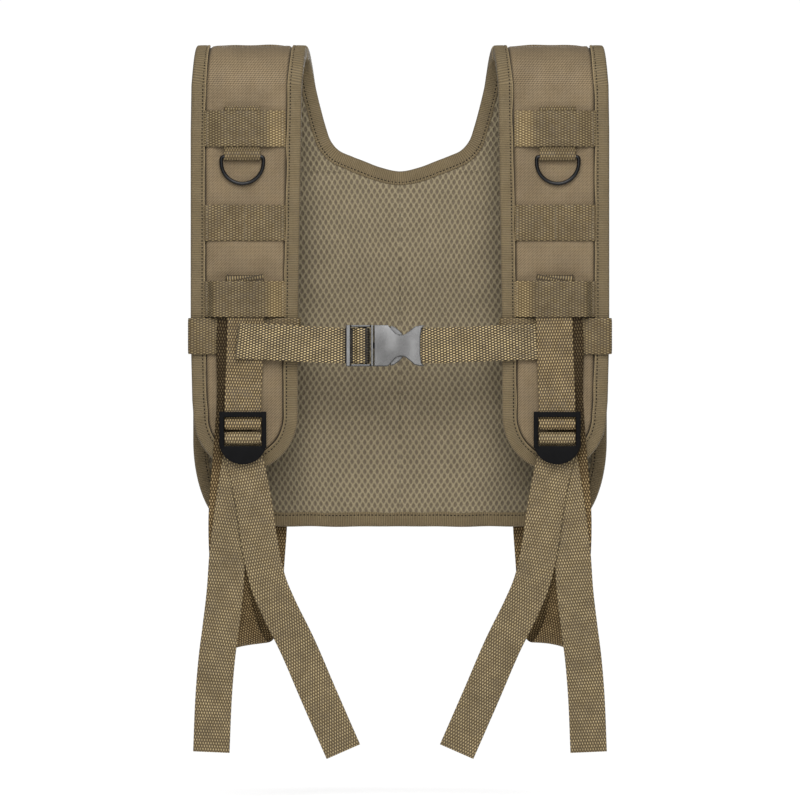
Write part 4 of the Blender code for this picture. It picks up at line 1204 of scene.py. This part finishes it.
def add_sternum_straps(materials):
    """The right half, looped into the buckle's housing, and the left half, threaded through its adjuster."""
    flat = -STRAP_LAYER / MM
    loop_radius = FEMALE_BAR_RADIUS + GAP + WEB / 2
    route = in_mm([(100.0, flat, -178.2), (84, flat, -178.4), (70, flat, -178.9), (50, -32.6, -179.8),
                   (30, -34.8, -180.5), (19, -35.8, -180.8)])
    route += bar_turn(FEMALE_BAR_X, loop_radius, 90, 270)
    route += [(19 * MM, BUCKLE_Y + loop_radius, BUCKLE_Z), (34 * MM, -32.2 * MM, BUCKLE_Z)]
    right = webbing("sternum_webbing_right", route, materials["sternum"], STERNUM_WIDTH, UPRIGHT,
                    bow=0.35 * MM, seed=91, slant=(4, 0))
    place(right, "sternum", "webbing", "sternum_strap_right")
    route_length(route)
    face = -STRAP_LAYER - WEB / 2 - STITCH_PROUD
    lines = boxed_cross(84.5 * MM, -178.4 * MM, face, 14 * MM, 18 * MM)
    sew("sternum_right_stitches", lines, materials["thread"], "sternum")

    wrap_radius = MALE_BAR_HALF_THICK + GAP + WEB / 2
    tail_y = -TAIL_LAYER / MM
    route = in_mm([(-100, flat, -177.5), (-80, flat, -178.5), (-60, flat, -179.8), (-36, -31.4, -180.8)])
    route += bar_turn(MALE_BAR_X + MALE_BAR_HALF_WIDTH - GAP, wrap_radius, -90, 90)
    route.append((MALE_BAR_X - MALE_BAR_HALF_WIDTH, BUCKLE_Y - wrap_radius, BUCKLE_Z))
    route += in_mm([
        (-31.6, -33.3, -180.8), (-37.5, -33.2, -180.8), (-48, -33.6, -180.6), (-64, -34.2, -179.9),
        (-84, tail_y, -178.7), (-98, tail_y - 0.5, -178.0), (-106, tail_y - 1.8, -177.7),
        (-113, tail_y - 3.8, -177.4)])
    left = webbing("sternum_webbing_left", route, materials["sternum"], STERNUM_WIDTH, UPRIGHT,
                   bow=0.3 * MM, seed=92, slant=(0, -5))
    # painted shade on the strap in the buckle's window, on both sides of the plug's bar
    paint_shade(left, 0, [(-38.5 * MM, -32.6 * MM), (-24.6 * MM, -18 * MM)])
    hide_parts("sternum_strap_left")
    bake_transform(left)
    route_length(route)


# ------------ hardware

BULGE = 1.6 * MM
BULGE_REACH = 14.4
BULGE_LENGTH = 5.0
BULGE_SHIFT = 1.2
# how far painted shade reaches in from a moulding's sides, and which faces count as sides
RIM_START = 0.35 * MM
RIM_END = 0.95 * MM
FRONT_FACING = -0.6


def add_rings(materials):
    """D-rings of round wire: a straight bar at the top and a half-oval below."""
    wide, corner = RING_HALF_WIDTH, RING_CORNER
    bar, bend = wide - corner, 0.7 * corner
    drop = RING_DROP + RING_SHOULDER
    outline = [(-bar, 0), (-bar + corner, 0), (0, 0), (bar - corner, 0), (bar, 0),
               (bar + bend, bend - corner), (wide, -corner)]
    for turn in np.linspace(0, math.pi, 17):
        outline.append((wide * math.cos(turn), RING_SHOULDER - drop * math.sin(turn)))
    outline += [(-wide, -corner), (-bar - bend, bend - corner), (-bar, 0)]
    curve, _ = even(smooth_curve([(x, 0, z) for x, z in outline]), 0.7 * MM)
    curve = curve[:-1]
    outward = np.cross(closed_tangents(curve), (0, 1, 0))
    turns = np.linspace(0, TURN, 18, endpoint=False)
    back = np.array((0, 1, 0))
    section = outward[:, None] * np.cos(turns)[None, :, None] + back * np.sin(turns)[None, :, None]
    faces, places = grid_faces(len(curve), len(turns), wrap_rows=True, wrap_columns=True)
    for name, side in SIDES.items():
        centre = curve + (side * RING_X, RING_PIN[1], RING_PIN[2])
        points = (centre[:, None] + RING_WIRE * section).reshape(-1, 3)
        ring = add_piece(f"ring_{name}_wire", points, faces.tolist(), places.reshape(-1, 2) * MM,
                         materials["ring"])
        place(ring, f"ring_{name}", "black_plastic", f"d_ring_{name}")


def bulge_front(piece):
    """Bulges the buckle's front face, so that it catches the light unevenly."""
    for vertex in piece.data.vertices:
        x, rise = vertex.co.x / MM, (vertex.co.z - BUCKLE_Z) / MM
        if vertex.co.y < BUCKLE_Y - 3.5 * MM:
            wave_along = (1 + math.cos(x / BULGE_LENGTH + BULGE_SHIFT)) / 2
            bulge = max(0.0, 1 - (rise / BULGE_REACH) ** 2) * wave_along
            vertex.co.y -= BULGE * bulge


def paint_shaded_rims(piece):
    """Marks the sides of a moulding and the rim of its front face for painted shade, a dark outline."""
    facing = vertex_vectors(piece, "normal")[:, 1]
    spots = vertex_vectors(piece, "co")
    is_side = facing > FRONT_FACING
    tree = KDTree(int(is_side.sum()))
    for k in np.flatnonzero(is_side):
        tree.insert(spots[k], int(k))
    tree.balance()
    marks = np.ones(len(spots))
    for k in np.flatnonzero(~is_side):
        marks[k] = 1 - step_between(tree.find(spots[k])[2], RIM_START, RIM_END)
    mark_painted_shade(piece, marks)


def moulded(name, node, material, grain=0.32 * MM, smooth=5):
    """A moulded piece: the CAD node's shape with every edge softened."""
    piece = add_object(name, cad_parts[node].data.copy())
    weld = piece.modifiers.new("weld", "WELD")
    weld.merge_threshold = 0.001 * MM
    skin = piece.modifiers.new("skin", "REMESH")
    skin.mode = "VOXEL"
    skin.voxel_size = grain
    soften = piece.modifiers.new("soften", "SMOOTH")
    soften.factor = 0.5
    soften.iterations = smooth
    bpy.context.view_layer.update()
    graph = bpy.context.evaluated_depsgraph_get()
    made = bpy.data.meshes.new_from_object(piece.evaluated_get(graph))
    piece.modifiers.clear()
    piece.data = made
    made.materials.clear()
    made.materials.append(material)
    made.shade_smooth()
    return piece


def add_hardware(materials):
    """The ladder locks and the buckle's parts."""
    for name in SIDES:
        lock = moulded(f"lock_{name}_frame", f"ladder_lock_{name}", materials["black"])
        place(lock, f"lock_{name}", "black_plastic", f"ladder_lock_{name}")
    for name, node, body in (("buckle_socket", "buckle_female", "sternum"),
                             ("buckle_plug", "buckle_male", "adjuster"),
                             ("latch_upper_arm", "latch_arm_upper", "latch_upper"),
                             ("latch_lower_arm", "latch_arm_lower", "latch_lower")):
        part = moulded(name, node, materials["buckle"], 0.25 * MM, 12)
        paint_shaded_rims(part)
        if name == "buckle_socket":
            bulge_front(part)
        place(part, body, "buckle_plastic", node)


# ------------ studio

VIEW_WIDTH = 0.5556
VIEW_CENTRE_Z = -0.2185
VIEW_DISTANCE = 10.0
FRONT_Y = -0.03
SENSOR = 36
FLOOR_Z = -0.5
FLOOR_HALF = 0.9
WHITE = (1, 1, 1, 1)
BACKDROP = 1.02
ROOM_LIGHT = 0.3
AIM = Vector((0, 0, -0.2))
LIGHTS = [("key", (0, -0.95, 0.6), 0.75, 16.0), ("front", (0, -1.7, 0.05), 0.8, 7.0),
          ("low", (0, -1.2, -1.1), 0.8, 7.0), ("back", (0.3, 1.7, 0.15), 1.0, 15.0)]


def add_studio():
    """The camera square on to the front, a white room, four soft lights and a pale floor."""
    scene = bpy.context.scene
    scene.view_settings.view_transform = "Standard"
    camera = add_object("camera", bpy.data.cameras.new("camera"))
    camera.location = (0, FRONT_Y - VIEW_DISTANCE, VIEW_CENTRE_Z)
    camera.rotation_euler = (math.radians(90), 0, 0)
    camera.data.sensor_width = SENSOR
    camera.data.lens = SENSOR * VIEW_DISTANCE / VIEW_WIDTH
    scene.camera = camera
    world = bpy.data.worlds.new("studio")
    world.use_nodes = True
    tree = world.node_tree
    room = Field(tree, "ShaderNodeBackground", {"Color": WHITE, "Strength": ROOM_LIGHT})
    backdrop = Field(tree, "ShaderNodeBackground", {"Color": WHITE, "Strength": BACKDROP})
    to_camera = Field(tree, "ShaderNodeLightPath", {}, "Is Camera Ray")
    seen = Field(tree, "ShaderNodeMixShader", {0: to_camera, 1: room, 2: backdrop})
    set_inputs(tree.nodes["World Output"], {"Surface": seen})
    scene.world = world
    for name, spot, size, power in LIGHTS:
        light = add_object(name, bpy.data.lights.new(name, "AREA"))
        light.data.shape = "SQUARE"
        light.data.size = size
        light.data.energy = power
        light.location = spot
        light.rotation_euler = (AIM - Vector(spot)).to_track_quat("-Z", "Y").to_euler()
    floor = add_object("floor", bpy.data.meshes.new("floor"))
    corners = [(-1, -1), (1, -1), (1, 1), (-1, 1)]
    points = [(x * FLOOR_HALF, y * FLOOR_HALF, FLOOR_Z) for x, y in corners]
    floor.data.from_pydata(points, [], [(0, 1, 2, 3)])
    material, _, shader = new_material("floor_paint", 0.9)
    set_inputs(shader, {"Base Color": (0.93, 0.93, 0.93, 1), "Emission Color": WHITE,
                        "Emission Strength": 0.35})
    floor.data.materials.append(material)


materials = make_materials()
add_studio()
add_pads(materials)
add_panel(materials)
add_rows(materials)
add_ring_tabs(materials)
add_keeper_bands(materials)
add_back_details(materials)
add_support_straps(materials)
add_hangers(materials)
add_belt_straps(materials)
add_sternum_straps(materials)
add_rings(materials)
add_hardware(materials)
